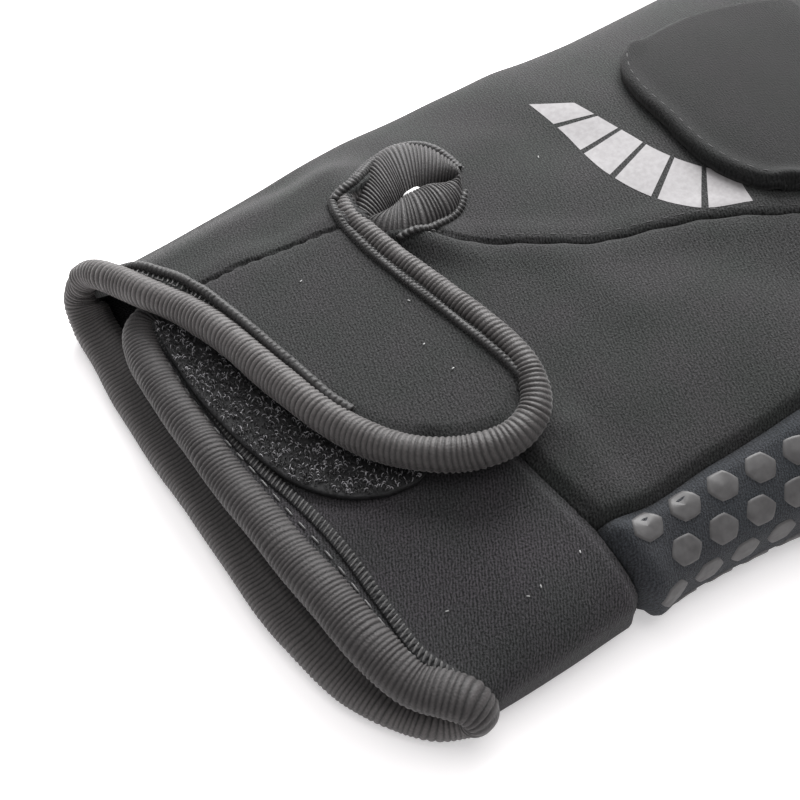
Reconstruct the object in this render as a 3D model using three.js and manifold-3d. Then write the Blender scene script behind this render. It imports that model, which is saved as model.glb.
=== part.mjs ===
// A left-hand neoprene fishing glove with a wrist tab, lying on its palm, in millimetres.
// +Z is up, +Y runs from the cuff to the fingertips and +X points to the thumb side.
import * as THREE from 'three';
import { mergeVertices } from 'three/addons/utils/BufferGeometryUtils.js';
import Module from 'manifold-3d';

const wasm = await Module();
wasm.setup();

// Driving dimensions
const wall = 2.8; // neoprene with its jersey faces
const gap = 0.3; // between pieces that are sewn or laid together
const cuffRoll = 2.25; // radius of the bound cuff edge
const tabRoll = 2.6; // radius of the bound edge of the tab
const ventRoll = { wide: 7.8, high: 4.6 }; // gathered binding round the vent
const patchThick = 0.9; // each half of the hook and loop closure
const tabThick = 2.6;
const tabUnder = 2.7; // from the cuff panel up to the tab's underside
const lift = tabUnder + tabThick; // how far the sewn edge of the back rises to meet the tab
const sideSeam = 5.2; // height of the seam between the back and the palm
const wristSeam = 43; // where the palm meets the wrist piece under the hand
const handEnd = 158; // where the fingers are set on
const overlayThick = 1.4;
const labelThick = 0.8;
const labelUnder = -4.05; // the blank label lies just under the vent's binding
const valleyStart = 137;
const knuckleDip = 4.2; // depth of the valleys between the finger roots
const fingerPitch = 25.2;
const sideHeight = 0.42; // height of the widest point as a share of the section's height
const valleyReach = 36; // the valleys lie within this distance of the middle
const tipShare = 0.62; // length of a rounded fingertip as a share of the finger's width
const ringSides = 26;
const fingerSides = 12;
const rollSides = 8;
const blockLow = -5; // below the whole glove, where a cutting block starts
const blockTop = 70; // above the whole glove, where it ends
const far = 90; // beyond either side of the glove

// Sections of the hand from the cuff to the finger roots
const handRows = [
  { y: -14, left: -47.5, right: 50.0, high: 13.3, round: 2.5 },
  { y: 0, left: -47.5, right: 50.0, high: 13.4, round: 2.5 },
  { y: 10, left: -47.6, right: 50.2, high: 14.0, round: 2.5 },
  { y: 20, left: -48.0, right: 50.3, high: 15.0, round: 2.5 },
  { y: 30, left: -48.8, right: 50.2, high: 16.3, round: 2.5 },
  { y: 43, left: -50.0, right: 49.8, high: 18.0, round: 2.5 },
  { y: 55, left: -50.6, right: 50.2, high: 19.8, round: 2.5 },
  { y: 70, left: -50.3, right: 51.6, high: 21.5, round: 2.5 },
  { y: 85, left: -49.4, right: 56.0, high: 23.0, round: 2.5 },
  { y: 100, left: -48.5, right: 60.0, high: 24.3, round: 2.5 },
  { y: 115, left: -49.0, right: 59.0, high: 24.6, round: 2.6 },
  { y: 130, left: -50.0, right: 55.0, high: 24.0, round: 2.8 },
  { y: 145, left: -50.5, right: 52.5, high: 21.5, round: 3.2 },
  { y: handEnd, left: -50.3, right: 51.5, high: 18.0, round: 4.0 },
];

// Fingers and thumb: root point, turn from +Y towards +X in degrees, length past the root, width and height
const fingers = [
  { name: 'little_finger', x: -37.8, y: 156, turn: -7, long: 60, wide: 23.0, high: 16.0 },
  { name: 'ring_finger', x: -12.7, y: 156, turn: -2.5, long: 78, wide: 24.6, high: 18.0 },
  { name: 'middle_finger', x: 12.6, y: 156, turn: 2, long: 86, wide: 24.8, high: 18.4 },
  { name: 'index_finger', x: 37.7, y: 156, turn: 7, long: 75, wide: 24.4, high: 17.0 },
  { name: 'thumb', x: 44.0, y: 96, turn: 38, long: 82, wide: 27.0, high: 19.0 },
];

// Seams of the back, drawn from above
const backSeam = [[-14, 51.5], [-8, 57.8], [-3.2, 63.7], [1, 70], [3.6, 77], [6.7, 84.7], [10.5, 91.4],
  [15, 98], [21, 112], [24.5, 132], [25.1, handEnd + 10]];
const cuffSeam = [[-19, 42], [-8, 38.6], [8, 37.4], [26.6, 38.2], [38, 39.8], [48, 40.6], [60, 41.2]];
const gripSeam = [[39.2, 40], [40.8, 48], [40.7, 57], [40.9, 66], [41, 75], [42, 88], [45, 103], [49, 122],
  [50.2, 140], [49.9, handEnd + 10]];
const tabSeam = [[-27.5, 0], [-26.6, 13.7], [-26.1, 22.2], [-24.6, 30.3], [-22, 38.6], [-20.5, 46]];
const wristFront = [[-70, 1.5], [-44, 1.8], [-33, 1.2], [-20, 0.3], [3, 0.2], [20, 0.2], [35, 2.4], [42, 5.5],
  [47, 9.5], [50, 12], [70, 14]];

// Centre of each bound edge: x and y from above, and z or the height over the back
const palmBindingRows = [
  { x: 48.8, y: 12.4, z: 3.7 }, { x: 46.8, y: 9.4, z: 2.7 }, { x: 43, y: 6.2, z: 2.3 },
  { x: 35, y: 2.4, z: 2.26 }, { x: 20, y: 0.2, z: 2.26 }, { x: 3, y: 0.2, z: 2.26 },
  { x: -20, y: 0.3, z: 2.26 }, { x: -36, y: 1.4, z: 2.26 }, { x: -43, y: 1.8, z: 3.0 },
  { x: -46, y: 2.2, z: 6.0 }, { x: -46.3, y: 3.0, z: 8.8 }, { x: -45.3, y: 3.8, z: 11.4 },
];
const tabBindingRows = [
  { x: -43.6, y: 4.8, over: 3.7 }, { x: -39.5, y: 6.2, over: 3.7 }, { x: -33, y: 8.5, over: 3.6 },
  { x: -24, y: 11.8, over: 3.8 }, { x: -14, y: 14.1, over: 4.0 }, { x: -3, y: 15.9, over: 4.0 },
  { x: 6.4, y: 18.2, over: 4.0 }, { x: 13.9, y: 21.3, over: 4.0 }, { x: 19, y: 25.7, over: 4.0 },
  { x: 22.3, y: 31.2, over: 4.0 }, { x: 23.2, y: 37.2, over: 4.0 }, { x: 21.4, y: 42.2, over: 4.0 },
  { x: 16.5, y: 44.7, over: 4.0 }, { x: 7, y: 44.6, over: 4.0 }, { x: -3, y: 43.2, over: 4.0 },
  { x: -12, y: 41.9, over: 4.0 }, { x: -20.5, y: 41.2, over: 4.0 }, { x: -26.4, y: 41.6, over: 4.0 },
];
const ventBindingRows = [
  { x: -29.4, y: 43.6, over: 3.8 }, { x: -31.9, y: 47.5, over: 2.6 }, { x: -32, y: 52, over: 1.0 },
  { x: -29.6, y: 56, over: -0.6 }, { x: -25.2, y: 57.6, over: -0.9 }, { x: -21.6, y: 55.6, over: -1.2 },
  { x: -20.6, y: 51.5, over: -1.4 }, { x: -20.9, y: 46.6, over: -1.4 },
];
const wristBindingRows = [
  { x: -21.6, y: 42.6, over: -1.4 }, { x: -25, y: 33, over: -1.4 }, { x: -29.4, y: 21, over: -1.4 },
  { x: -32.4, y: 11.5, over: -1.4 }, { x: -31.4, y: 6.2, over: -1.4 }, { x: -25, y: 3.6, over: -1.4 },
  { x: -13, y: 2.4, over: -1.4 }, { x: 2, y: 1.6, over: -1.4 }, { x: 16, y: 1.8, over: -1.4 },
  { x: 28, y: 3.2, over: -1.4 }, { x: 37, y: 5.5, over: -1.5 }, { x: 43, y: 8.2, over: -1.7 },
  { x: 46.6, y: 10.8, z: 9.0 }, { x: 48.4, y: 12.8, z: 8.7 },
];

// Outlines from above of the pieces that lie on the back
const tabOutline = [[-27, 12.2], [-14, 15.1], [-3, 16.9], [6, 19.2], [13.1, 22.4], [17.9, 26.6], [21.1, 31.6],
  [22, 37], [20.3, 41.3], [15.8, 43.5], [7, 43.4], [-3, 42], [-12, 40.7], [-20, 40], [-26, 40.4]];
const loopOutline = [[-26, 7.4], [-18, 6.6], [-9.9, 6.3], [2.2, 7.6], [11.4, 10.3], [17.4, 14.6], [20, 19.5],
  [18.5, 26], [12, 29.5], [0, 30], [-12, 29], [-20, 27]];
const hookOutline = [[-20, 15.6], [-10, 17.4], [0, 19.5], [8, 22.3], [14, 27], [17, 33], [15.5, 38.2],
  [8, 40.3], [-4, 39.6], [-14, 38], [-17.5, 30]];
const ventOutline = [[-34.2, 43.2], [-36.6, 48], [-37.2, 54], [-34.5, 58.6], [-29.5, 61.2], [-23.6, 61.2],
  [-18.8, 58.4], [-16.4, 53.4], [-16.4, 48], [-18, 42.5], [-24, 40.6], [-30, 40.6]];
const overlayOutline = [[-30, 100], [-26, 96.2], [-19.9, 94.6], [-10, 94.6], [-4.3, 94], [3.7, 95.1],
  [10.8, 99], [16, 107], [19, 117], [19.5, 129], [15, 135], [-28, 135], [-34, 128], [-33.5, 112]];
const labelBox = { x0: -31, x1: -20, y0: 48, y1: 60 };

// How many straight steps each curve is made of
const palmSteps = 30;
const tabSteps = 30;
const ventSteps = 16;
const wristSteps = 34;
const seamSteps = 14;
const outlineSteps = 30;
const ventOutlineSteps = 40;

// Colours of the materials
const neoprene = { color: 0x2b2d2c, roughness: 0.9 };
const ribbedBinding = { color: 0x262424, roughness: 0.82 };
const gripFabric = { color: 0x30343a, roughness: 0.88 };
const closure = { color: 0x17171a, roughness: 0.6 };

// Sampling of the sections

function smoothStep(t) {
  const s = Math.min(Math.max(t, 0), 1);
  return s * s * (3 - 2 * s);
}

function handRowAt(y) {
  const last = handRows.length - 1;
  const at = Math.min(Math.max(y, handRows[0].y), handRows[last].y);
  let i = 0;
  while (i < last - 1 && handRows[i + 1].y < at) i += 1;
  const a = handRows[i];
  const b = handRows[i + 1];
  const t = (at - a.y) / (b.y - a.y);
  const mix = (key) => a[key] + (b[key] - a[key]) * t;
  return { left: mix('left'), right: mix('right'), high: mix('high'), round: mix('round') };
}

// Valleys that run back from between the fingers
function valley(x, y) {
  if (Math.abs(x) >= valleyReach) return 0;
  const between = Math.max(0, Math.cos((2 * Math.PI * x) / fingerPitch));
  return knuckleDip * between * between * smoothStep((y - valleyStart) / (handEnd - valleyStart));
}

// Height of the outer face of the back over the table
function backHeight(x, y) {
  const row = handRowAt(y);
  const half = (row.right - row.left) / 2;
  const across = Math.min(Math.abs(x - (row.left + row.right) / 2) / half, 0.999);
  const side = sideHeight * row.high;
  return side + (row.high - side) * (1 - across ** row.round) ** (1 / row.round) - valley(x, y);
}

// How far the sewn side of the back is raised where it meets the tab
function edgeLift(x, y) {
  return lift * smoothStep((x + 47) / 12) * smoothStep((57 - y) / 15);
}

function handRing(y, inset, raised) {
  const row = handRowAt(y);
  const middle = (row.left + row.right) / 2;
  const half = (row.right - row.left) / 2 - inset;
  const side = sideHeight * row.high;
  const ring = [];
  for (let i = 0; i < ringSides; i += 1) {
    const angle = (2 * Math.PI * i) / ringSides;
    const c = Math.cos(angle);
    const s = Math.sin(angle);
    const power = 2 / (s >= 0 ? row.round : 5);
    const x = middle + half * Math.sign(c) * Math.abs(c) ** power;
    const reach = s >= 0 ? row.high - inset - side : 1.06 * (side - inset);
    let z = Math.max(side + reach * Math.sign(s) * Math.abs(s) ** power, inset);
    if (s > 0) z -= valley(x, y);
    if (raised && s > 0) z += edgeLift(x, y) * Math.min(1, 3 * s);
    ring.push(new THREE.Vector3(x, y, z));
  }
  return ring;
}

function fingerRing(finger, along, inset) {
  const bend = finger.wide * tipShare;
  const tip = Math.min(1, Math.max(0, (along - finger.long + bend) / bend));
  const swell = Math.sqrt(Math.max(1 - tip * tip, 0.03)) * (1 - 0.1 * Math.max(0, along / finger.long));
  const half = Math.max((finger.wide / 2 - inset) * swell, 0.8);
  const turn = THREE.MathUtils.degToRad(finger.turn);
  const low = inset + (finger.high / 2) * 0.5 * tip * tip;
  const high = low + Math.max((finger.high - 2 * inset) * (0.35 + 0.65 * swell) - low + inset, 1.2);
  const ring = [];
  for (let i = 0; i < fingerSides; i += 1) {
    const angle = (2 * Math.PI * i) / fingerSides;
    const across = half * Math.cos(angle);
    const s = Math.sin(angle);
    const middle = (low + high) / 2;
    const z = Math.max(middle + ((high - low) / 2) * (s < 0 ? 1.08 * s : s), low);
    const x = finger.x + along * Math.sin(turn) + across * Math.cos(turn);
    const y = finger.y + along * Math.cos(turn) - across * Math.sin(turn);
    ring.push(new THREE.Vector3(x, y, z));
  }
  return ring;
}

// Solids

// Closed body through rings of the same number of points
function closedLoft(rings) {
  const sides = rings[0].length;
  const positions = [];
  const centre = (ring) => ring.reduce((sum, p) => sum.add(p), new THREE.Vector3()).divideScalar(sides);
  rings.forEach((ring) => ring.forEach((p) => positions.push(p.x, p.y, p.z)));
  const first = centre(rings[0]);
  const last = centre(rings[rings.length - 1]);
  positions.push(first.x, first.y, first.z, last.x, last.y, last.z);
  const index = [];
  for (let r = 0; r < rings.length - 1; r += 1) {
    for (let i = 0; i < sides; i += 1) {
      const j = (i + 1) % sides;
      const a = r * sides + i;
      const b = r * sides + j;
      index.push(a, b, b + sides, a, b + sides, a + sides);
    }
  }
  const end = (rings.length - 1) * sides;
  for (let i = 0; i < sides; i += 1) {
    const j = (i + 1) % sides;
    index.push(j, i, rings.length * sides);
    index.push(end + i, end + j, rings.length * sides + 1);
  }
  const geometry = new THREE.BufferGeometry();
  geometry.setAttribute('position', new THREE.Float32BufferAttribute(positions, 3));
  geometry.setIndex(index);
  return geometry;
}

function solidOf(geometry) {
  geometry.deleteAttribute('normal');
  geometry.deleteAttribute('uv');
  const merged = mergeVertices(geometry, 1e-4);
  const solid = new wasm.Manifold(new wasm.Mesh({
    numProp: 3,
    vertProperties: new Float32Array(merged.attributes.position.array),
    triVerts: new Uint32Array(merged.index.array),
  }));
  if (solid.volume() > 0) return solid;
  const turned = Array.from(merged.index.array);
  for (let i = 0; i < turned.length; i += 3) [turned[i], turned[i + 1]] = [turned[i + 1], turned[i]];
  return new wasm.Manifold(new wasm.Mesh({
    numProp: 3,
    vertProperties: new Float32Array(merged.attributes.position.array),
    triVerts: new Uint32Array(turned),
  }));
}

function loftSolid(rings) {
  return solidOf(closedLoft(rings));
}

function smoothLine(points, steps) {
  const curve = new THREE.SplineCurve(points.map(([x, y]) => new THREE.Vector2(x, y)));
  return curve.getPoints(steps);
}

function prism(points, low, high) {
  const geometry = new THREE.ExtrudeGeometry(new THREE.Shape(points), {
    depth: high - low, bevelEnabled: false, steps: 1,
  });
  geometry.translate(0, 0, low);
  return solidOf(geometry);
}

function blankPrism(outline, low, high, steps) {
  const curve = new THREE.SplineCurve([...outline, outline[0]].map(([x, y]) => new THREE.Vector2(x, y)));
  return prism(curve.getPoints(steps).slice(0, -1), low, high);
}

// Narrow wall along a seam, which leaves the sewing gap when it is cut away
function seamCut(points, low, steps) {
  const line = smoothLine(points, steps);
  const side = (sign) => line.map((p, i) => {
    const before = line[Math.max(i - 1, 0)];
    const after = line[Math.min(i + 1, line.length - 1)];
    const across = new THREE.Vector2(before.y - after.y, after.x - before.x).normalize();
    return p.clone().addScaledVector(across, (sign * gap) / 2);
  });
  return prism([...side(1), ...side(-1).reverse()], low, blockTop);
}

function centreLine(rows) {
  const points = rows.map((row) => new THREE.Vector3(
    row.x, row.y, row.z ?? backHeight(row.x, row.y) + row.over,
  ));
  return new THREE.CatmullRomCurve3(points, false, 'centripetal');
}

// Round or flattened roll along a centre line
function roll(rows, wide, high, steps) {
  const curve = centreLine(rows);
  const up = new THREE.Vector3(0, 0, 1);
  const frames = curve.computeFrenetFrames(steps, false);
  const round = Math.abs(wide - high) < 0.01;
  const rings = [];
  for (let k = 0; k <= steps; k += 1) {
    const centre = curve.getPointAt(k / steps);
    const along = frames.tangents[k];
    const across = round ? frames.normals[k] : new THREE.Vector3().crossVectors(along, up).normalize();
    const over = new THREE.Vector3().crossVectors(across, along).normalize();
    const ring = [];
    for (let i = 0; i < rollSides; i += 1) {
      const angle = (2 * Math.PI * (i + 0.5)) / rollSides;
      ring.push(centre.clone().addScaledVector(across, (wide / 2) * Math.cos(angle))
        .addScaledVector(over, (high / 2) * Math.sin(angle)));
    }
    rings.push(ring);
  }
  return loftSolid(rings);
}

// Sheet that follows the back, between two heights over it
function sheetOverBack(box, low, high, cells) {
  const rings = [];
  for (let j = 0; j <= cells.y; j += 1) {
    const y = box.y0 + ((box.y1 - box.y0) * j) / cells.y;
    const top = [];
    const under = [];
    for (let i = 0; i <= cells.x; i += 1) {
      const x = box.x0 + ((box.x1 - box.x0) * i) / cells.x;
      top.push(new THREE.Vector3(x, y, backHeight(x, y) + high));
      under.push(new THREE.Vector3(x, y, backHeight(x, y) + low));
    }
    rings.push([...top, ...under.reverse()]);
  }
  return loftSolid(rings);
}

function patchOverBack(outline, low, high, cells) {
  const xs = outline.map((p) => p[0]);
  const ys = outline.map((p) => p[1]);
  const margin = 2;
  const box = {
    x0: Math.min(...xs) - margin,
    x1: Math.max(...xs) + margin,
    y0: Math.min(...ys) - margin,
    y1: Math.max(...ys) + margin,
  };
  const blank = blankPrism(outline, blockLow, blockTop, outlineSteps);
  return sheetOverBack(box, low, high, cells).intersect(blank);
}

// The hollow hand before it is cut into its panels
const handStations = [-14, 0, 7, 14, 21, 28, 35, 43, 49, 56, 65, 75, 87, 100, 115, 128, 137, 148, handEnd];
const hollowStations = [-20, ...handStations.slice(1, -1), handEnd - wall];
const grownStations = [-14, 20, 55, 85, 100, 115, 130, 145, handEnd + gap];
const handLoft = (stations, inset, raised) => loftSolid(stations.map((y) => handRing(y, inset, raised)));
const handOuter = handLoft(handStations, 0, false);
const handInner = handLoft(hollowStations, wall, false);
const raisedOuter = handLoft(handStations, 0, true);
const raisedInner = handLoft(hollowStations, wall, true);
const handGrown = handLoft(grownStations, -gap, false);

function fingerSolid(finger, inset, back) {
  const bend = finger.wide * tipShare;
  const long = finger.long - inset;
  const tipSteps = [0, 0.3, 0.55, 0.75, 0.9, 1];
  const stations = [back, 6, long * 0.4, ...tipSteps.map((t) => long - bend + bend * t)];
  return loftSolid(stations.map((along) => fingerRing({ ...finger, long }, along, inset)));
}

// How far a finger's outer and inner shapes reach back into the hand
const thumbReach = { outer: -14, inner: -16 };
const fingerReach = { outer: -6, inner: -12 };
const backReach = (finger) => (finger.name === 'thumb' ? thumbReach : fingerReach);
const fingerInners = fingers.map((finger) => fingerSolid(finger, wall, backReach(finger).inner));
const hollows = fingerInners.reduce((sum, inner) => sum.add(inner), handInner);
const hand = handOuter.subtract(hollows);
const raisedHand = raisedOuter.subtract(fingerInners.reduce((sum, inner) => sum.add(inner), raisedInner));

// Bound edges, and the same rolls grown by the gap, which trim the panels
const palmBinding = roll(palmBindingRows, 2 * cuffRoll, 2 * cuffRoll, palmSteps);
const tabBinding = roll(tabBindingRows, 2 * tabRoll, 2 * tabRoll, tabSteps);
const ventBinding = roll(ventBindingRows, ventRoll.wide, ventRoll.high, ventSteps);
const wristBinding = roll(wristBindingRows, 2 * cuffRoll, 2 * cuffRoll, wristSteps);
const grow = 2 * gap;
const bindingsGrown = [
  roll(palmBindingRows, 2 * cuffRoll + grow, 2 * cuffRoll + grow, palmSteps),
  roll(tabBindingRows, 2 * tabRoll + grow, 2 * tabRoll + grow, tabSteps),
  roll(ventBindingRows, ventRoll.wide + grow, ventRoll.high + grow, ventSteps),
  roll(wristBindingRows, 2 * cuffRoll + grow, 2 * cuffRoll + grow, wristSteps),
];

// Regions of the panels seen from above
const pairs = (points) => points.map((p) => [p.x, p.y]);
const vectors = (points) => points.map(([x, y]) => new THREE.Vector2(x, y));
const region = (points, low, high) => prism(vectors(points), low, high);
const backLine = pairs(smoothLine(backSeam, seamSteps));
const gripLine = pairs(smoothLine(gripSeam, seamSteps));
const cuffLine = pairs(smoothLine(cuffSeam, seamSteps));
const frontLine = pairs(smoothLine(wristFront, seamSteps));
const tabLine = pairs(smoothLine(tabSeam, seamSteps));
const wristLine = pairs(centreLine(wristBindingRows).getSpacedPoints(wristSteps));
const tabFrontShare = 11; // the first points of the tab's bound edge, up to the middle of its front
const tabFront = pairs(centreLine(tabBindingRows).getSpacedPoints(tabSteps)).slice(0, tabFrontShare);

const backRegion = [[-27.5, -20], ...tabLine, ...backLine, [25.1, far * 2], [-far, far * 2], [-far, -20]];
const thumbRegion = [...cuffLine.filter(([x]) => x < 38), [39.3, 40], ...gripLine.filter(([, y]) => y > 41),
  [49.9, far * 2], [25.1, far * 2], ...[...backLine].reverse()];
const cuffRegion = [...[...cuffLine].reverse(), ...wristLine, [far, 15], [far, 41.2]];
const aheadOfCuff = [...frontLine, [far, 14], [far, far * 2], [-far, far * 2], [-far, 1.5]];
const aheadOfTab = [[-far, 4.8], ...tabFront, [0, 30], [far, 30], [far, far * 2], [-far, far * 2]];
const underWrist = [[-far, wristSeam - gap / 2], [far, wristSeam - gap / 2], [far, -20], [-far, -20]];
const overWrist = [[-far, wristSeam + gap / 2], [far, wristSeam + gap / 2], [far, -20], [-far, -20]];
const belowGrip = [...cuffLine, [far, 42], [far, -30], [-far, -30], [-far, 42]];
const leftOfBack = [[-far, 30], [-far, far * 2], [0, far * 2], [0, 30]];

const cutTop = sideSeam + gap / 2;
const cutLow = sideSeam - gap / 2;
const cuffCutLow = cutLow - 1;
const seamCuts = [seamCut(backSeam, cutTop, seamSteps), seamCut(gripSeam, cutTop, seamSteps),
  seamCut(cuffSeam, cuffCutLow, seamSteps)];
const tabSeamCut = seamCut(tabSeam, cutTop, seamSteps);
const ventFloor = 9; // the hole goes through the back alone
const ventHole = blankPrism(ventOutline, ventFloor, blockTop, ventOutlineSteps);

function trimmed(solid, cuts) {
  return cuts.reduce((rest, cut) => rest.subtract(cut), solid);
}

const backCuts = [...seamCuts, ventHole, ...bindingsGrown];
const backBlank = raisedHand.intersect(region(backRegion, cutTop, blockTop));
const backPanel = trimmed(
  backBlank.intersect(region(aheadOfTab, blockLow, blockTop)),
  [tabSeamCut, ...backCuts],
);
const thumbSidePanel = trimmed(hand.intersect(region(thumbRegion, cutTop, blockTop)), backCuts);
const cuffPanel = trimmed(hand.intersect(region(cuffRegion, cutTop, blockTop)), backCuts);
const wristPanel = trimmed(
  hand.intersect(region(underWrist, blockLow, cutLow)).intersect(region(aheadOfCuff, blockLow, blockTop)),
  bindingsGrown,
);
const gripPanel = trimmed(hand, [
  region(overWrist, blockLow, cutLow),
  region(belowGrip, cuffCutLow, blockTop),
  region(backRegion, cutLow, blockTop),
  region(thumbRegion, cutLow, blockTop),
  region(leftOfBack, cutLow, blockTop),
  ...seamCuts,
  ventHole,
]);

const tab = trimmed(
  patchOverBack(tabOutline, tabUnder, tabUnder + tabThick, { x: 9, y: 8 }),
  [tabSeamCut, region([[-60, -20], ...tabLine, [-60, 46]], blockLow, blockTop), ...bindingsGrown],
);
const loopPatch = trimmed(patchOverBack(loopOutline, gap, gap + patchThick, { x: 10, y: 5 }), bindingsGrown);
const hookPatch = trimmed(
  patchOverBack(hookOutline, 2 * gap + patchThick, 2 * gap + 2 * patchThick, { x: 8, y: 5 }),
  bindingsGrown,
);
const overlay = patchOverBack(overlayOutline, gap, gap + overlayThick, { x: 10, y: 8 });
const label = sheetOverBack(labelBox, labelUnder - labelThick, labelUnder, { x: 4, y: 4 });

// Nodes

const group = new THREE.Group();

function addPiece(name, solid, look) {
  const mesh = solid.getMesh();
  const geometry = new THREE.BufferGeometry();
  geometry.setAttribute('position', new THREE.BufferAttribute(new Float32Array(mesh.vertProperties), 3));
  geometry.setIndex(new THREE.BufferAttribute(new Uint32Array(mesh.triVerts), 1));
  geometry.computeVertexNormals();
  const piece = new THREE.Mesh(geometry, new THREE.MeshStandardMaterial({ metalness: 0, ...look }));
  piece.name = name;
  group.add(piece);
}

addPiece('back_panel', backPanel, neoprene);
addPiece('thumb_side_panel', thumbSidePanel, neoprene);
addPiece('cuff_panel', cuffPanel, neoprene);
addPiece('palm_wrist_panel', wristPanel, neoprene);
addPiece('grip_palm_panel', gripPanel, gripFabric);
fingers.forEach((finger) => {
  const outer = fingerSolid(finger, 0, backReach(finger).outer);
  const inner = fingerSolid(finger, wall, backReach(finger).inner);
  addPiece(finger.name, outer.subtract(inner).subtract(handGrown), neoprene);
});
addPiece('palm_cuff_binding', palmBinding, ribbedBinding);
addPiece('tab_binding', tabBinding, ribbedBinding);
addPiece('vent_binding', ventBinding, ribbedBinding);
addPiece('wrist_cuff_binding', wristBinding, ribbedBinding);
addPiece('wrist_tab', tab, neoprene);
addPiece('loop_patch', loopPatch, closure);
addPiece('hook_patch', hookPatch, closure);
addPiece('knuckle_overlay', overlay, neoprene);
addPiece('inner_label', label, { color: 0xdedede, roughness: 0.8 });

// The origin is under the middle of the glove, on the table
const bounds = new THREE.Box3().setFromObject(group);
group.position.set(-(bounds.min.x + bounds.max.x) / 2, -(bounds.min.y + bounds.max.y) / 2, -bounds.min.z);

export default group;
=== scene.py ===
import math

import bpy
import numpy as np
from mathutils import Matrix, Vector
from mathutils.bvhtree import BVHTree


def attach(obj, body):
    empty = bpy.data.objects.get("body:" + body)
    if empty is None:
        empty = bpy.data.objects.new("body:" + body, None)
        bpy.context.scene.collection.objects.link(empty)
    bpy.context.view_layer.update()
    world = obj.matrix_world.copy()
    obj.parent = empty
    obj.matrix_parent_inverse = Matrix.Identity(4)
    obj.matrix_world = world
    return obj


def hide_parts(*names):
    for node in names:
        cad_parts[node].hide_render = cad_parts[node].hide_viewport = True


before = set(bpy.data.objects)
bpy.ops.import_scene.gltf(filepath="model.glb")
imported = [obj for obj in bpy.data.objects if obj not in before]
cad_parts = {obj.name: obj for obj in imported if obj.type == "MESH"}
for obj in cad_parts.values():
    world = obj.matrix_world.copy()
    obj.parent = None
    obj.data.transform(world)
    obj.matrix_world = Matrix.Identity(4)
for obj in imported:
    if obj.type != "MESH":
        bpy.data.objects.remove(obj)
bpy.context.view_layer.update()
mm = 0.001
fullTurn = 6.28  # radians, rounded
rng = np.random.default_rng(7)

# Where the middle of the cuff lies in the frame, in mm. Every place below is measured from it.
cuffMiddle = {"x": -22.179, "y": -119.955}

# The hand's cross sections from the cuff to the finger roots, in mm
hand = {
    "y": (-14, 0, 10, 20, 30, 43, 55, 70, 85, 100, 115, 130, 145, 158),
    "left": (-47.5, -47.5, -47.6, -48, -48.8, -50, -50.6, -50.3, -49.4, -48.5, -49, -50, -50.5, -50.3),
    "right": (50, 50, 50.2, 50.3, 50.2, 49.8, 50.2, 51.6, 56, 60, 59, 55, 52.5, 51.5),
    "high": (13.3, 13.4, 14, 15, 16.3, 18, 19.8, 21.5, 23, 24.3, 24.6, 24, 21.5, 18),
    "round": (2.5, 2.5, 2.5, 2.5, 2.5, 2.5, 2.5, 2.5, 2.5, 2.5, 2.6, 2.8, 3.2, 4.0),
    "sideHeight": 0.42,
    "palmRound": 5.0,
    "palmReach": 1.06,
    "seamHeight": 5.2,
}
tabShape = {"under": 2.7, "thick": 2.6}

# Soft ridges (+) and hollows (-) of the back: a line from above, its half width and its height
folds = (
    (-42, 40, -30, 30, 5.0, -1.0),
    (-44, 66, -20, 80, 7.0, -0.8),
    (-46, 84, -30, 72, 5.0, 0.6),
    (26, 45.5, 38, 45.5, 3.0, 0.5),
    (8, 45, 24, 45.5, 3.0, 0.5),
    (-4, 62, 14, 66, 5.0, 0.5),
    (24, 54, 30, 74, 7.0, 0.3),
    (12, 80, 34, 98, 6.0, -0.8),
    (30, 28, 44, 16, 5.0, -0.7),
    (20, 14, 40, 26, 6.0, 0.5),
)

valleys = {"apart": 25.2, "until": 36, "depth": 4.2, "start": 137, "long": 21}
slitLift = {"left": -47, "wide": 12, "top": 57, "long": 15}

rowStep = 0.5  # mm between the hand's sections
fineY = np.arange(-14, 158.01, rowStep)
sideSteps = 1024
turnSteps = 1440
around = 240.0  # nominal length round the hand, in mm
lineStep = 0.5  # mm between the points of a seam line
curveSteps = 24


def toFrame(points):
    out = np.array(points, float)
    out[:, 0] += cuffMiddle["x"]
    out[:, 1] += cuffMiddle["y"]
    return out * mm


def smoothRow(key, window=17):
    row = np.interp(fineY, hand["y"], hand[key])
    kernel = np.hanning(window + 2)[1:-1]
    half = window // 2
    head = 2 * row[0] - row[half:0:-1]
    tail = 2 * row[-1] - row[-2:-half - 2:-1]
    return np.convolve(np.concatenate([head, row, tail]), kernel / kernel.sum(), "valid")


rows = {key: smoothRow(key) for key in ("left", "right", "high", "round")}


def smoothStep(t):
    s = np.clip(t, 0, 1)
    return s * s * (3 - 2 * s)


def relief(x, y):
    total = np.zeros(np.shape(x))
    for x0, y0, x1, y1, width, height in folds:
        dx, dy = x1 - x0, y1 - y0
        t = np.clip(((x - x0) * dx + (y - y0) * dy) / (dx * dx + dy * dy), 0, 1)
        away = np.hypot(x - x0 - t * dx, y - y0 - t * dy)
        total = total + height * np.exp(-(away / width) ** 2)
    valley = np.maximum(0, np.cos(2 * math.pi * x / valleys["apart"])) ** 2 * (np.abs(x) < valleys["until"])
    return total - valleys["depth"] * valley * smoothStep((y - valleys["start"]) / valleys["long"])


def backHeight(x, y):
    x, y = np.asarray(x, float), np.asarray(y, float)
    left, right = np.interp(y, fineY, rows["left"]), np.interp(y, fineY, rows["right"])
    high, power = np.interp(y, fineY, rows["high"]), np.interp(y, fineY, rows["round"])
    across = np.minimum(np.abs((x - (left + right) / 2) / ((right - left) / 2)), 0.999)
    side = hand["sideHeight"] * high
    return side + (high - side) * (1 - across ** power) ** (1 / power) + relief(x, y)


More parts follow.
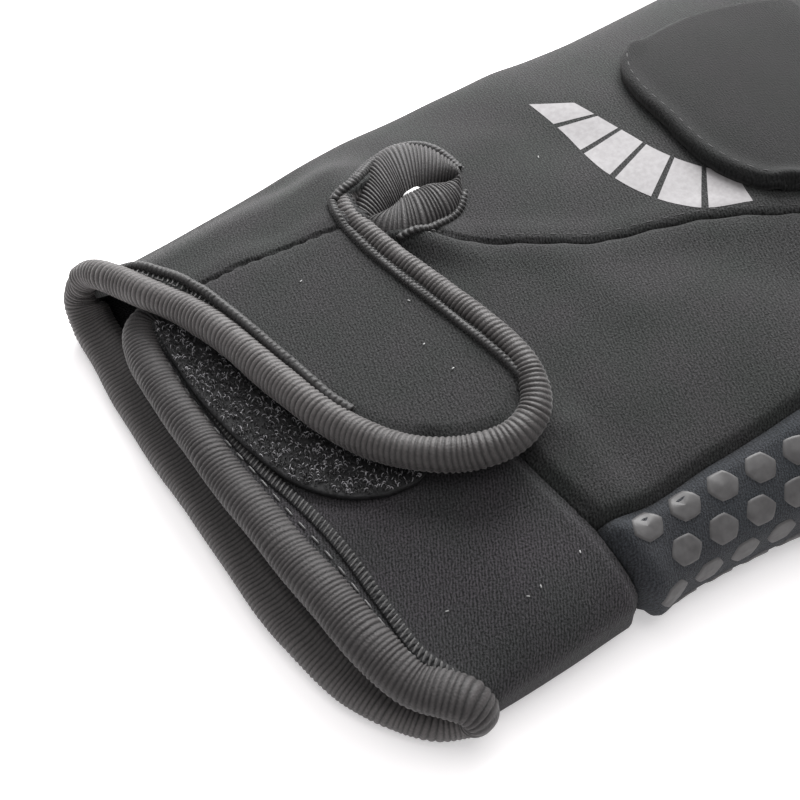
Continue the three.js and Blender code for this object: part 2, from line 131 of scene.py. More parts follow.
# The left side of the slit stands up as high as the tab that is sewn to it
def edgeLift(x, y):
    across = smoothStep((x - slitLift["left"]) / slitLift["wide"])
    along = smoothStep((slitLift["top"] - y) / slitLift["long"])
    return (tabShape["under"] + tabShape["thick"]) * across * along


# Sections of the whole hand at even steps round it, from the middle of the palm up the left side
def ringTable(raised):
    turn = np.radians(np.linspace(270, -90, turnSteps + 1))
    c, s = np.cos(turn), np.sin(turn)
    xs, zs, lengths = [], [], []
    for i, y in enumerate(fineY):
        left, right, high, power = (rows[k][i] for k in ("left", "right", "high", "round"))
        side = hand["sideHeight"] * high
        exponent = 2 / np.where(s >= 0, power, hand["palmRound"])
        x = (left + right) / 2 + (right - left) / 2 * np.sign(c) * np.abs(c) ** exponent
        reach = np.where(s >= 0, high - side, hand["palmReach"] * side)
        z = np.maximum(side + reach * np.sign(s) * np.abs(s) ** exponent, 0)
        z = z + relief(x, y) * smoothStep(s * 2.5)
        if raised:
            z = z + edgeLift(x, y) * np.clip(3 * s, 0, 1)
        step = np.concatenate([[0], np.cumsum(np.hypot(np.diff(x), np.diff(z)))])
        even = np.linspace(0, step[-1], sideSteps + 1)
        xs.append(np.interp(even, step, x))
        zs.append(np.interp(even, step, z))
        lengths.append(step[-1])
    return {"x": np.array(xs), "z": np.array(zs), "length": np.array(lengths)}


flatRing = ringTable(False)
raisedRing = ringTable(True)
print("hand sections made")


def lookUp(table, a, y):
    y = np.clip(y, fineY[0], fineY[-1] - 0.001)
    row = (y - fineY[0]) / rowStep
    i = row.astype(int)
    down = row - i
    col = (a / around % 1.0) * sideSteps
    j = np.minimum(col.astype(int), sideSteps - 1)
    side = col - j

    def pick(t):
        near = t[i, j] * (1 - side) + t[i, j + 1] * side
        far = t[i + 1, j] * (1 - side) + t[i + 1, j + 1] * side
        return near * (1 - down) + far * down
    return np.stack([pick(table["x"]), y, pick(table["z"])], -1)


def normalised(v):
    return v / (np.linalg.norm(v, axis=-1, keepdims=True) + 1e-12)


def ringSpot(table, nearRound=0.5, nearUp=0.6):
    def spot(a, y):
        along = lookUp(table, a + nearRound, y) - lookUp(table, a - nearRound, y)
        up = lookUp(table, a, y + nearUp) - lookUp(table, a, y - nearUp)
        return lookUp(table, a, y), normalised(np.cross(along, up))
    return spot


def backSpot(height, near=0.4):
    def spot(x, y):
        gx = (backHeight(x + near, y) - backHeight(x - near, y)) / (2 * near)
        gy = (backHeight(x, y + near) - backHeight(x, y - near)) / (2 * near)
        here = np.stack([x, y, backHeight(x, y) + height], -1)
        return here, normalised(np.stack([-gx, -gy, np.ones_like(gx)], -1))
    return spot


def sectionRow(table, y, key):
    i = int(round((min(max(y, fineY[0]), fineY[-1]) - fineY[0]) / rowStep))
    return table[key][i]


# Places on the ring: over a point seen from above, and on the side seams
def overPoints(table, points):
    out = []
    for x, y in points:
        row = sectionRow(table, y, "x")
        a, b = int(row.argmin()), int(row.argmax())
        out.append(((a + np.interp(x, row[a:b + 1], np.arange(b - a + 1))) / sideSteps * around, y))
    return np.array(out)


def sideSeam(table, ys, rightSide, height=None):
    out = []
    for y in ys:
        z = sectionRow(table, y, "z")
        half = sideSteps // 2
        low = z < (height or hand["seamHeight"])
        k = half + int(np.argmax(low[half:])) if rightSide else half - int(np.argmax(low[half::-1]))
        out.append((k / sideSteps * around, y))
    return np.array(out)


def placeAt(line, share):
    spot = share * (len(line) - 1)
    return np.array([np.interp(spot, np.arange(len(line)), line[:, k]) for k in range(line.shape[1])])


def curveThrough(points, spacing=lineStep):
    pts = np.array(points, float)
    ends = np.vstack([2 * pts[0] - pts[1], pts, 2 * pts[-1] - pts[-2]])
    out = []
    for k in range(1, len(ends) - 2):
        p0, p1, p2, p3 = ends[k - 1:k + 3]
        t1 = max(np.linalg.norm(p1 - p0), 1e-6) ** 0.5
        t2 = t1 + max(np.linalg.norm(p2 - p1), 1e-6) ** 0.5
        t3 = t2 + max(np.linalg.norm(p3 - p2), 1e-6) ** 0.5
        t = np.linspace(t1, t2, curveSteps, endpoint=False)[:, None]
        a1 = (t1 - t) / t1 * p0 + t / t1 * p1
        a2 = (t2 - t) / (t2 - t1) * p1 + (t - t1) / (t2 - t1) * p2
        a3 = (t3 - t) / (t3 - t2) * p2 + (t - t2) / (t3 - t2) * p3
        b1 = (t2 - t) / t2 * a1 + t / t2 * a2
        b2 = (t3 - t) / (t3 - t1) * a2 + (t - t1) / (t3 - t1) * a3
        out.append((t2 - t) / (t2 - t1) * b1 + (t - t1) / (t2 - t1) * b2)
    line = np.vstack(out + [pts[-1:]])
    return resample(line, max(int(round(lineLength(line) / spacing)), 2) + 1)


def lineLength(line):
    return float(np.linalg.norm(np.diff(line, axis=0), axis=1).sum())


def runOf(line):
    return np.concatenate([[0], np.cumsum(np.linalg.norm(np.diff(line, axis=0), axis=1))])


def resample(line, count):
    line = np.array(line, float)
    step = runOf(line)
    even = np.linspace(0, step[-1], count)
    return np.stack([np.interp(even, step, line[:, k]) for k in range(line.shape[1])], -1)


# A few long waves, so that no face is dead flat: direction, count per mm and phase
waveCount = 9
waveLengths = (14, 45)
waves = [(rng.uniform(0, fullTurn), fullTurn / rng.uniform(*waveLengths), rng.uniform(0, fullTurn))
         for _ in range(waveCount)]


def softness(a, b, height):
    total = sum(np.sin((a * math.cos(t) + b * math.sin(t)) * k + p) for t, k, p in waves)
    return total * height / 3


# Meshes in mm, with their cloth map and material
def addMesh(name, verts, quads, material, loopUv=None, ribShare=None):
    mesh = bpy.data.meshes.new(name)
    mesh.from_pydata(toFrame(verts), [], quads)
    if ribShare is not None:
        mesh.attributes.new("rib", "FLOAT", "POINT").data.foreach_set("value", np.ravel(ribShare))
    mesh.polygons.foreach_set("use_smooth", [True] * len(mesh.polygons))
    if loopUv is None:
        loopUv = np.zeros((len(mesh.loops), 2))
    layer = mesh.uv_layers.new(name="cloth")
    layer.data.foreach_set("uv", (np.asarray(loopUv, float) * mm).ravel())
    obj = bpy.data.objects.new(name, mesh)
    bpy.context.collection.objects.link(obj)
    mesh.materials.append(material)
    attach(obj, "root")
    return obj


def circle(sides):
    return 2 * math.pi * np.arange(sides) / sides


# The four corners of each cell in a grid
def cellsOf(grid):
    near, far = slice(None, -1), slice(1, None)
    corners = ((near, near), (near, far), (far, far), (far, near))
    return np.stack([grid[..., a, b] for a, b in corners], -1)


# Quads between the rings of one tube, or of many tubes at once
def ringQuads(index):
    return cellsOf(np.concatenate([index, index[..., :1]], -1)).reshape(-1, 4)


def gridUv(us, vs):
    u, v = np.meshgrid(us, vs)
    return np.stack([cellsOf(u), cellsOf(v)], -1).reshape(-1, 2)


# A sheet with two faces, closed along its outline and its holes
def shell(name, outer, inner, uv, keep, material):
    rowsOf, colsOf = outer.shape[:2]
    index = np.arange(rowsOf * colsOf).reshape(rowsOf, colsOf)
    cells = cellsOf(index)
    count = rowsOf * colsOf
    faces = [cells[keep], cells[keep][:, ::-1] + count]
    bare = ~np.pad(keep, 1)
    beyond = (bare[:-2, 1:-1], bare[1:-1, 2:], bare[2:, 1:-1], bare[1:-1, :-2])
    for k, open_ in enumerate(beyond):
        edge = cells[keep & open_]
        first, second = edge[:, k], edge[:, (k + 1) % 4]
        faces.append(np.stack([second, first, first + count, second + count], -1))
    quads = np.vstack(faces)
    verts = np.vstack([outer.reshape(-1, 3), inner.reshape(-1, 3)])
    uvs = np.vstack([uv.reshape(-1, 2)] * 2)
    used, quads = np.unique(quads, return_inverse=True)
    quads = quads.reshape(-1, 4)
    return addMesh(name, verts[used], quads, material, uvs[used][quads])


# A grid between four lines
def coons(bottom, right, top, left, cell):
    nu = int(max(lineLength(bottom), lineLength(top)) / cell) + 2
    nv = int(max(lineLength(left), lineLength(right)) / cell) + 2
    low, high = resample(bottom, nu), resample(top, nu)
    near, far = resample(left, nv), resample(right, nv)
    u, v = np.linspace(0, 1, nu)[None, :, None], np.linspace(0, 1, nv)[:, None, None]
    ruled = (1 - v) * low[None] + v * high[None] + (1 - u) * near[:, None] + u * far[:, None]
    ends = (1 - u) * (1 - v) * low[0] + u * (1 - v) * low[-1] + (1 - u) * v * high[0] + u * v * high[-1]
    return ruled - ends


def insideOutline(x, y, outline):
    pts = np.array(outline, float)
    inside = np.zeros(np.shape(x), bool)
    for (x0, y0), (x1, y1) in zip(pts, np.roll(pts, -1, axis=0)):
        crosses = (y0 > y) != (y1 > y)
        with np.errstate(divide="ignore", invalid="ignore"):
            inside ^= crosses & (x < (x1 - x0) * (y - y0) / (y1 - y0) + x0)
    return inside


def awayFrom(points, line, spacing=0.8, atOnce=4000):
    dense = resample(line, max(int(lineLength(line) / spacing), 2) + 1)
    flat = points.reshape(-1, points.shape[-1])
    out = np.zeros(len(flat))
    for start in range(0, len(flat), atOnce):
        block = flat[start:start + atOnce]
        out[start:start + atOnce] = np.sqrt(((block[:, None] - dense[None]) ** 2).sum(-1)).min(1)
    return out.reshape(points.shape[:-1])


lowest = 0.35  # mm over the table
liningLift = 0.4  # mm more where the lining lies over its outer face


# A panel between four seams. Each edge can roll down: depth, width, puff behind it and the puff's place.
def panel(name, spot, edges, settings, material, replaces, holes=(), extra=None):
    plan = coons(*edges, settings["cell"])
    base, normal = spot(plan[..., 0], plan[..., 1])
    offset = softness(plan[..., 0], plan[..., 1], settings["softness"])
    for edge, key in zip(edges, ("bottom", "right", "top", "left")):
        if key not in settings:
            continue
        depth, width, puff, place = settings[key]
        away = awayFrom(plan, edge)
        offset -= depth * (1 - smoothStep(away / width))
        offset += puff * np.exp(-((away - place) / place) ** 2)
    if extra is not None:
        offset += extra(base[..., 0], base[..., 1])
    outer = base + normal * offset[..., None]
    inner = outer - normal * settings["wall"]
    for layer in (outer, inner):
        layer[..., 2] = np.maximum(layer[..., 2], settings.get("floor", lowest))
    inner[..., 2] = np.where(inner[..., 2] < outer[..., 2], inner[..., 2], inner[..., 2] + liningLift)
    middle = outer[:-1, :-1]
    keep = np.ones(middle.shape[:2], bool)
    for hole in holes:
        keep &= ~insideOutline(middle[..., 0], middle[..., 1], hole)
    obj = shell(name, outer, inner, plan, keep, material)
    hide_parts(*replaces)
    return obj


def treeOf(*objs):
    verts, faces = [], []
    for obj in objs:
        count = len(verts)
        verts += [obj.matrix_world @ v.co for v in obj.data.vertices]
        faces += [[count + i for i in p.vertices] for p in obj.data.polygons]
    return BVHTree.FromPolygons(verts, faces)


rayStart = 0.08  # metres over the table


# Places on the pieces straight under some points, with the way up there
def onTop(tree, points, lift):
    spots, normals = [], []
    for x, y in points:
        start = Vector(((x + cuffMiddle["x"]) * mm, (y + cuffMiddle["y"]) * mm, rayStart))
        place, normal, _, _ = tree.ray_cast(start, Vector((0, 0, -1)))
        if place is None:
            place, normal = Vector((start.x, start.y, 0)), Vector((0, 0, 1))
        normal = normal if normal.z > 0 else -normal
        spots.append((x + normal.x * lift, y + normal.y * lift, place.z / mm + normal.z * lift))
        normals.append(tuple(normal))
    return np.array(spots), np.array(normals)


# Directions across and over a line, turned along it without twist
def frames(line):
    tangent = normalised(np.gradient(line, axis=0))
    across = np.zeros_like(line)
    side = np.cross(tangent[0], (0, 0, 1))
    across[0] = side / np.linalg.norm(side)
    for k in range(1, len(line)):
        side = across[k - 1] - tangent[k] * np.dot(across[k - 1], tangent[k])
        across[k] = side / np.linalg.norm(side)
    return across, np.cross(across, tangent)


def tube(name, line, radii, sides, material):
    across, over = frames(line)
    angle, step = circle(sides), runOf(line)
    wide, high, rib = radii(step[:, None], angle[None, :])
    ring = (line[:, None] + across[:, None] * (wide * np.cos(angle))[..., None]
            + over[:, None] * (high * np.sin(angle))[..., None])
    count = len(line)
    index = np.arange(count * sides).reshape(count, sides)
    start, finish = index[0], index[-1]
    middles = [np.full(sides, count * sides + k) for k in (0, 1)]
    caps = [np.stack([np.roll(start, -1), start, middles[0]], -1),
            np.stack([middles[1], finish, np.roll(finish, -1)], -1)]
    faces = [face for group in (ringQuads(index), *caps) for face in group.tolist()]
    verts = np.vstack([ring.reshape(-1, 3), line[:1], line[-1:]])
    us = np.arange(sides + 1) / sides * 2 * math.pi * float(np.mean(wide))
    loopUv = np.vstack([gridUv(us, step), np.zeros((2 * sides * 3, 2))])
    ribShare = np.concatenate([np.broadcast_to(rib, (count, sides)).ravel(), [0, 0]])
    return addMesh(name, verts, faces, material, loopUv, ribShare)


knotCount = 900
ribShape = {"sharp": 0.7, "level": 0.6, "uneven": 0.4, "lean": 0.5, "lumpLengths": (7.3, 3.9)}
wanderLengths = {"phase": 3.1, "lean": 11.0, "strength": 0.9}


# Ribs that cross the roll a little aslant. Along it, slim narrows the whole roll, broad widens it and
# tone darkens the ribs as painted shade. A tail is the inner turn of the tape, which runs in to the panel.
def ribbed(settings, seed):
    noise = np.random.default_rng(seed)
    pitch, depth, slant = settings["pitch"], settings["depth"], settings["slant"]
    knots = noise.uniform(-1, 1, knotCount)

    def wander(step, length):
        return np.interp(step / length, np.arange(knotCount), knots)

    def along(key, share):
        return np.interp(share, *settings.get(key, ((0, 1), (1, 1))))

    def radii(step, angle):
        phase = step / pitch + settings["wander"] * wander(step, wanderLengths["phase"])
        lean = ribShape["lean"] * wander(step, wanderLengths["lean"])
        phase = phase + slant * np.sin(angle + settings["turn"] + lean)
        rib = np.abs(np.sin(math.pi * phase)) ** ribShape["sharp"]
        strong = 1 + ribShape["uneven"] * wander(step + 40, wanderLengths["strength"])
        long, short = ribShape["lumpLengths"]
        lump = settings["lumps"] * np.sin(step / long + 2 * np.sin(angle)) * np.sin(step / short + angle)
        grow = depth * strong * (rib - ribShape["level"]) + lump
        share = step / step.max()
        slim = along("slim", share)
        broad = slim * along("broad", share)
        if "tail" in settings:
            tail = settings["tail"]
            turned = (angle - tail["at"] + math.pi) % (2 * math.pi) - math.pi
            fade = smoothStep((1.0 - share) / tail["fade"])
            grow = grow + tail["reach"] * np.exp(-(turned / tail["spread"]) ** 2) * fade
        wide, high = settings["wide"] / 2 * broad + grow, settings["high"] / 2 * slim + grow
        # The rib share also sets the colour: painted shade in the rib valleys, painted highlight on the crests
        return wide, high, rib * along("tone", share)
    return radii


def withHeights(table):
    return [(x, y, z if overTable else float(backHeight(x, y)) + z) for x, y, z, *overTable in table]


# Small stitches, each a short rounded bar
def stitches(name, centres, alongs, ups, length, width, high, material):
    sidesOf = 8
    ends = np.array([-0.5, -0.46, -0.3, 0, 0.3, 0.46, 0.5])
    size = np.array([0.0, 0.62, 0.95, 1, 0.95, 0.62, 0.0])
    angle = circle(sidesOf)
    sides = normalised(np.cross(ups, alongs))
    tops = np.cross(alongs, sides)
    body = (centres[:, None, None] + alongs[:, None, None] * (ends * length)[None, :, None, None]
            + sides[:, None, None] * (size[:, None] * np.cos(angle) * width / 2)[None, ..., None]
            + tops[:, None, None] * (size[:, None] * np.sin(angle) * high / 2)[None, ..., None])
    index = np.arange(len(centres) * len(ends) * sidesOf).reshape(-1, len(ends), sidesOf)
    addMesh(name, body.reshape(-1, 3), ringQuads(index), material)


# Materials, built from a few kinds of node
def newMaterial(name):
    material = bpy.data.materials.new(name)
    material.use_nodes = True
    tree = material.node_tree
    return material, tree, tree.nodes["Principled BSDF"]


def mathNode(tree, operation, first, second=None):
    node = tree.nodes.new("ShaderNodeMath")
    node.operation = operation
    for k, value in enumerate((first, second)):
        if value is None:
            continue
        if isinstance(value, (int, float)):
            node.inputs[k].default_value = value
        else:
            tree.links.new(value, node.inputs[k])
    return node.outputs[0]


def noiseFrom(tree, vector, scale, detail, roughness=0.5):
    noise = tree.nodes.new("ShaderNodeTexNoise")
    for key, value in (("Scale", scale), ("Detail", detail), ("Roughness", roughness)):
        noise.inputs[key].default_value = value
    tree.links.new(vector, noise.inputs["Vector"])
    return noise.outputs["Fac"]


def toneFrom(tree, factor, dark, light, spread=(0, 1)):
    ramp = tree.nodes.new("ShaderNodeValToRGB")
    for element, tone, place in zip(ramp.color_ramp.elements, (dark, light), spread):
        element.color = (*tone, 1)
        element.position = place
    tree.links.new(factor, ramp.inputs["Fac"])
    return ramp.outputs["Color"]


sockets = {
    "roughness": "Roughness", "specular": "Specular IOR Level", "sheen": "Sheen Weight",
    "sheenRoughness": "Sheen Roughness", "sheenTint": "Sheen Tint",
}
patchSpread = (0.35, 0.65)


# Colour, bump and the shader's own settings
def finishLook(made, colour, height, look):
    material, tree, shader = made
    bump = tree.nodes.new("ShaderNodeBump")
    bump.inputs["Strength"].default_value = look["bump"]
    bump.inputs["Distance"].default_value = look["bumpHeight"] * mm
    tree.links.new(height, bump.inputs["Height"])
    tree.links.new(bump.outputs["Normal"], shader.inputs["Normal"])
    tree.links.new(colour, shader.inputs["Base Color"])
    for key, socket in sockets.items():
        if key in look:
            shader.inputs[socket].default_value = look[key]
    return material


# Knit: slanting rows that wander a little, with grain over them and slow patches of tint
def knitMaterial(name, look):
    made = newMaterial(name)
    tree = made[1]
    uv = tree.nodes.new("ShaderNodeUVMap")
    uv.uv_map = "cloth"
    mapping = tree.nodes.new("ShaderNodeMapping")
    mapping.inputs["Rotation"].default_value[2] = math.radians(look.get("turn", 0))
    mapping.inputs["Scale"].default_value = (1 / mm / look["wale"], 1 / mm / look["course"], 1)
    tree.links.new(uv.outputs["UV"], mapping.inputs["Vector"])
    place = mapping.outputs["Vector"]
    split = tree.nodes.new("ShaderNodeSeparateXYZ")
    tree.links.new(place, split.inputs[0])
    sideways = mathNode(tree, "MULTIPLY", split.outputs[0], look["slope"])
    wander = mathNode(tree, "MULTIPLY", noiseFrom(tree, place, *look["wander"]), look["jitter"])
    slope = mathNode(tree, "ADD", mathNode(tree, "ADD", split.outputs[1], sideways), wander)
    row = mathNode(tree, "SINE", mathNode(tree, "MULTIPLY", slope, 2 * math.pi))
    specks = mathNode(tree, "MULTIPLY", noiseFrom(tree, place, *look["grain"]), look["specks"])
    mixed = mathNode(tree, "ADD", specks, mathNode(tree, "MULTIPLY", row, look["rows"]))
    blend = tree.nodes.new("ShaderNodeMix")
    blend.data_type = "RGBA"
    blend.blend_type = "MULTIPLY"
    blend.inputs["Factor"].default_value = 1
    tone = toneFrom(tree, mixed, look["dark"], look["light"], look["spread"])
    patches = noiseFrom(tree, uv.outputs["UV"], *look["patches"])
    tree.links.new(tone, blend.inputs["A"])
    tree.links.new(toneFrom(tree, patches, *look["tints"], patchSpread), blend.inputs["B"])
    return finishLook(made, blend.outputs["Result"], mixed, look)


# Binding: the rib share of each place picks the tone between valley and crest, which is painted shade in the
# valleys and painted highlight on the crests
def ribMaterial(name, look):
    made = newMaterial(name)
    tree = made[1]
    share = tree.nodes.new("ShaderNodeAttribute")
    share.attribute_name = "rib"
    place = tree.nodes.new("ShaderNodeTexCoord")
    grain = noiseFrom(tree, place.outputs["Object"], look["scale"], 3)
    crest = mathNode(tree, "POWER", share.outputs["Fac"], look["narrow"])
    mixed = mathNode(tree, "MULTIPLY", crest, mathNode(tree, "ADD", grain, 0.4))
    return finishLook(made, toneFrom(tree, mixed, look["dark"], look["light"]), grain, look)


def plainMaterial(name, look):
    made = newMaterial(name)
    tree = made[1]
    place = tree.nodes.new("ShaderNodeTexCoord")
    noise = noiseFrom(tree, place.outputs["Object"], look["scale"], 3)
    return finishLook(made, toneFrom(tree, noise, look["dark"], look["light"], patchSpread), noise, look)


# The knits. Wander, grain and patches are noises, each with its scale and detail.
jersey = {
    "wale": 0.46, "course": 0.46, "slope": 0.3, "jitter": 1.6, "specks": 1.0, "rows": 0.05,
    "wander": (0.35, 2), "grain": (1.4, 4, 0.62), "patches": (90, 3),
    "dark": (0.002, 0.0022, 0.0022), "light": (0.048, 0.0485, 0.049), "spread": (0.35, 0.71),
    "tints": ((0.86, 0.92, 0.88), (1.05, 1.0, 1.04)),
    "bump": 0.75, "bumpHeight": 0.34, "roughness": 0.85, "specular": 0.22, "sheen": 0.09,
    "sheenRoughness": 0.45, "sheenTint": (0.62, 0.62, 0.62, 1),
}
backKnit = knitMaterial("back jersey", jersey)
sideKnit = knitMaterial("side jersey", jersey)
overlayKnit = knitMaterial("overlay jersey", {**jersey, "light": (0.0175, 0.0173, 0.018)})
cuffKnit = knitMaterial("cuff jersey", {
    **jersey, "light": (0.052, 0.0495, 0.054), "rows": 0.07, "wale": 0.5, "turn": 12,
})
gripKnit = knitMaterial("grip fabric", {
    **jersey, "wale": 0.4, "course": 0.4, "dark": (0.008, 0.0088, 0.01), "light": (0.044, 0.0475, 0.053),
    "tints": ((0.9, 0.95, 1.0), (1.02, 1.0, 1.04)), "sheen": 0.12,
})

# Bindings and plain looks, a row each: noise scale, dark tone, light tone, bump and its height in mm,
# roughness, specular, sheen, and how narrow the rib crests are
lookKeys = ("scale", "dark", "light", "bump", "bumpHeight", "roughness", "specular", "sheen", "narrow")
# For the bindings the dark tone is painted shade in the rib valleys and the light tone painted highlight on the
# crests
ribLooks = {
    "binding": (3000, (0.0085, 0.0075, 0.0075), (0.078, 0.071, 0.0705), 0.7, 0.16, 0.6, 0.4, 0.2, 1.3),
    "shaded binding": (3000, (0.005, 0.0043, 0.0045), (0.042, 0.038, 0.0385), 0.7, 0.16, 0.6, 0.35, 0.12, 1.5),
    "braid": (3400, (0.002, 0.002, 0.002), (0.024, 0.0225, 0.023), 0.4, 0.1, 0.55, 0.3, 0.15, 1.6),
}
plainLooks = {
    # silicone: the dots' light grey, lighter than the cloth, is painted sheen of their gloss
    "silicone": (600, (0.05, 0.048, 0.049), (0.072, 0.07, 0.071), 0.2, 0.1, 0.55, 0.35, 0),
    "loop ground": (1800, (0.003, 0.003, 0.0035), (0.012, 0.012, 0.013), 0.6, 0.3, 0.7, 0.3, 0),
    "loop thread": (900, (0.004, 0.0038, 0.0043), (0.042, 0.04, 0.043), 0.0, 0.1, 0.22, 0.8, 0),
    "loop glint": (900, (0.16, 0.155, 0.165), (0.42, 0.41, 0.43), 0.0, 0.1, 0.25, 0.8, 0),
    "thread": (2600, (0.014, 0.013, 0.013), (0.055, 0.052, 0.052), 0.3, 0.1, 0.5, 0.5, 0.3),
    "dark thread": (2600, (0.008, 0.008, 0.008), (0.03, 0.029, 0.03), 0.3, 0.1, 0.6, 0.3, 0.1),
    "bright thread": (2600, (0.02, 0.019, 0.0195), (0.055, 0.053, 0.054), 0.3, 0.1, 0.4, 0.5, 0.3),
    "lint": (2600, (0.2, 0.2, 0.2), (0.45, 0.45, 0.45), 0.0, 0.1, 0.6, 0.3, 0),
    "silver print": (1100, (0.18, 0.172, 0.176), (0.215, 0.207, 0.212), 0.3, 0.08, 0.6, 0.35, 0),
    "label tape": (900, (0.8, 0.8, 0.8), (0.95, 0.94, 0.94), 0.2, 0.1, 0.6, 0.3, 0),
}
looks = {}
for name, row in ribLooks.items():
    looks[name] = ribMaterial(name, {**dict(zip(lookKeys, row)), "sheenRoughness": 0.4})
for name, row in plainLooks.items():
    looks[name] = plainMaterial(name, dict(zip(lookKeys, row)))
print("materials made")

# Seams seen from above
backSeam = curveThrough([
    (-21, 43), (-17.5, 48.5), (-14, 51.5), (-8, 57.8), (-3.2, 63.7), (1, 70), (3.6, 77), (6.7, 84.7),
    (10.5, 91.4), (15, 98), (21, 112), (24.5, 132), (25.1, 158)])
cuffSeam = curveThrough([(-21, 43), (-19, 42), (-8, 38.6), (8, 37.4), (26.6, 38.2), (39.3, 40)])
gripSeam = curveThrough([
    (39.3, 40), (40.8, 48), (40.7, 57), (40.9, 66), (41, 75), (42, 88), (45, 103), (49, 122), (50.2, 140),
    (49.9, 158)])
tabSeam = [(-27, 11.2), (-26.4, 14.6), (-26.1, 22.2), (-24.6, 30.3), (-22.5, 38.6), (-21, 43)]
ventHole = [
    (-29, 43), (-30.6, 46.6), (-33, 50.2), (-35.4, 54), (-36, 57), (-35, 59.4), (-32.6, 60.6), (-29, 60.8),
    (-25, 60.2), (-21.4, 58.8), (-18.8, 56.6), (-17.3, 53.4), (-16.7, 49.2), (-17.4, 45.2), (-19.6, 42.6),
    (-25, 42)]
thumbHole = [(42, 98), (64, 92), (70, 112), (52, 118)]

# The print side of the back, with the left fold
backPanel = {
    "cell": 0.72, "wall": 2.6, "softness": 0.09,
    "right": (0.65, 0.9, 0.3, 2.4), "top": (1.2, 3.0, 0, 3.0), "left": (0.5, 1.5, 0, 2.0),
}
lowerFront = np.vstack([sideSeam(raisedRing, [4.6], False), overPoints(raisedRing, [
    (-46.5, 4.5), (-43.6, 4.8), (-39.5, 6.2), (-33, 8.4), (-27, 11.2)])])
backPiece = panel(
    "back_panel_cloth", ringSpot(raisedRing),
    (lowerFront,
     overPoints(raisedRing, np.vstack([curveThrough(tabSeam)[:-1], backSeam])),
     np.vstack([sideSeam(raisedRing, [158], False), overPoints(raisedRing, [(0, 158), (25.1, 158)])]),
     sideSeam(raisedRing, np.arange(4.6, 158.5, 2), False)),
    backPanel, backKnit, ("back_panel",), holes=(ventHole,))


# The thumb side of the back rises a little where it meets the raised edge of the slit
def meetLift(x, y):
    away = awayFrom(np.stack([x, y], -1), np.array([(-19, 46), (-14, 51.5), (-8, 57.8)]))
    return edgeLift(x, y) * np.exp(-(away / 3.5) ** 2)


sidePanel = {
    "cell": 0.72, "wall": 2.6, "softness": 0.1, "left": (0.65, 0.8, 0.2, 2.6),
    "bottom": (1.6, 2.4, 0.3, 4.0), "right": (1.3, 2.2, 0.25, 3.6), "top": (1.2, 3.0, 0, 3.0),
}
sidePiece = panel(
    "thumb_side_cloth", ringSpot(flatRing),
    (overPoints(flatRing, cuffSeam), overPoints(flatRing, gripSeam),
     overPoints(flatRing, [(25.1, 158), (40, 158), (49.9, 158)]), overPoints(flatRing, backSeam)),
    sidePanel, sideKnit, ("thumb_side_panel",), holes=(ventHole, thumbHole), extra=meetLift)

# The wrist piece on the thumb side, under the tab
cuffPanel = {
    "cell": 0.7, "wall": 2.6, "softness": 0.1, "top": (1.3, 2.0, 0, 3.0),
    "bottom": (0.3, 2.0, 0, 3.0), "right": (0.4, 1.5, 0, 2.0),
}
cuffFront = curveThrough([
    (-31.9, 8.0), (-31.4, 6.2), (-25, 3.6), (-13, 2.4), (2, 1.6), (16, 1.8), (28, 3.2), (37, 5.5), (43, 8.2),
    (46.6, 10.8), (48.4, 12.6)])
cuffSide = 1.6  # mm over the table where the cuff's side seam lies
cuffPiece = panel(
    "cuff_cloth", ringSpot(flatRing),
    (np.vstack([overPoints(flatRing, cuffFront), sideSeam(flatRing, [13.2], True, cuffSide)]),
     sideSeam(flatRing, np.arange(13.2, 41.3, 2), True, cuffSide),
     np.vstack([overPoints(flatRing, cuffSeam), sideSeam(flatRing, [41.2], True, cuffSide)]),
     overPoints(flatRing, curveThrough([(-31.9, 8.0), (-29.4, 21), (-25, 33), (-21, 43)]))),
    cuffPanel, cuffKnit, ("cuff_panel",))

# The wrist piece under the hand
lowRight = sideSeam(flatRing, np.arange(12.6, 43.1, 2), True, cuffSide)
lowLeft = sideSeam(flatRing, np.arange(2.6, 43.1, 2), False) + (around, 0)
frontEdge = (12.6, 9.4, 6.2, 2.4, 0.4, 0.4, 0.5, 1.5, 1.9, 2.6)
lowFront = np.stack([np.linspace(lowRight[0, 0], lowLeft[0, 0], len(frontEdge)), frontEdge], -1)
wristPanel = {"cell": 1.0, "wall": 2.6, "softness": 0.05, "top": (0.5, 1.5, 0, 2.0)}
panel(
    "palm_wrist_cloth", ringSpot(flatRing),
    (lowFront, lowLeft[:-1], np.array([lowRight[-1], lowLeft[-2]]), lowRight),
    wristPanel, cuffKnit, ("palm_wrist_panel",))

# The palm in grip fabric, which wraps up onto the back on the thumb side
gripPanel = {
    "cell": 0.9, "wall": 2.5, "softness": 0.12, "floor": 0.5, "bottom": (2.0, 2.2, 0.9, 2.6),
    "left": (1.2, 1.8, 0.3, 3.0), "top": (1.2, 3.0, 0, 3.0),
}
gripStart = overPoints(flatRing, gripSeam)
gripEnd = sideSeam(flatRing, np.arange(43, 158.1, 2), False) + (around, 0)
gripFront = np.array([gripStart[0], overPoints(flatRing, [(46, 40.8)])[0], (around * 0.76, 41.6),
                      (around * 0.8, 42.6), (around * 0.9, 43), gripEnd[0]])
gripPiece = panel(
    "grip_palm_cloth", ringSpot(flatRing),
    (gripFront, gripEnd, np.array([gripStart[-1], gripEnd[-1]]), gripStart),
    gripPanel, gripKnit, ("grip_palm_panel",))

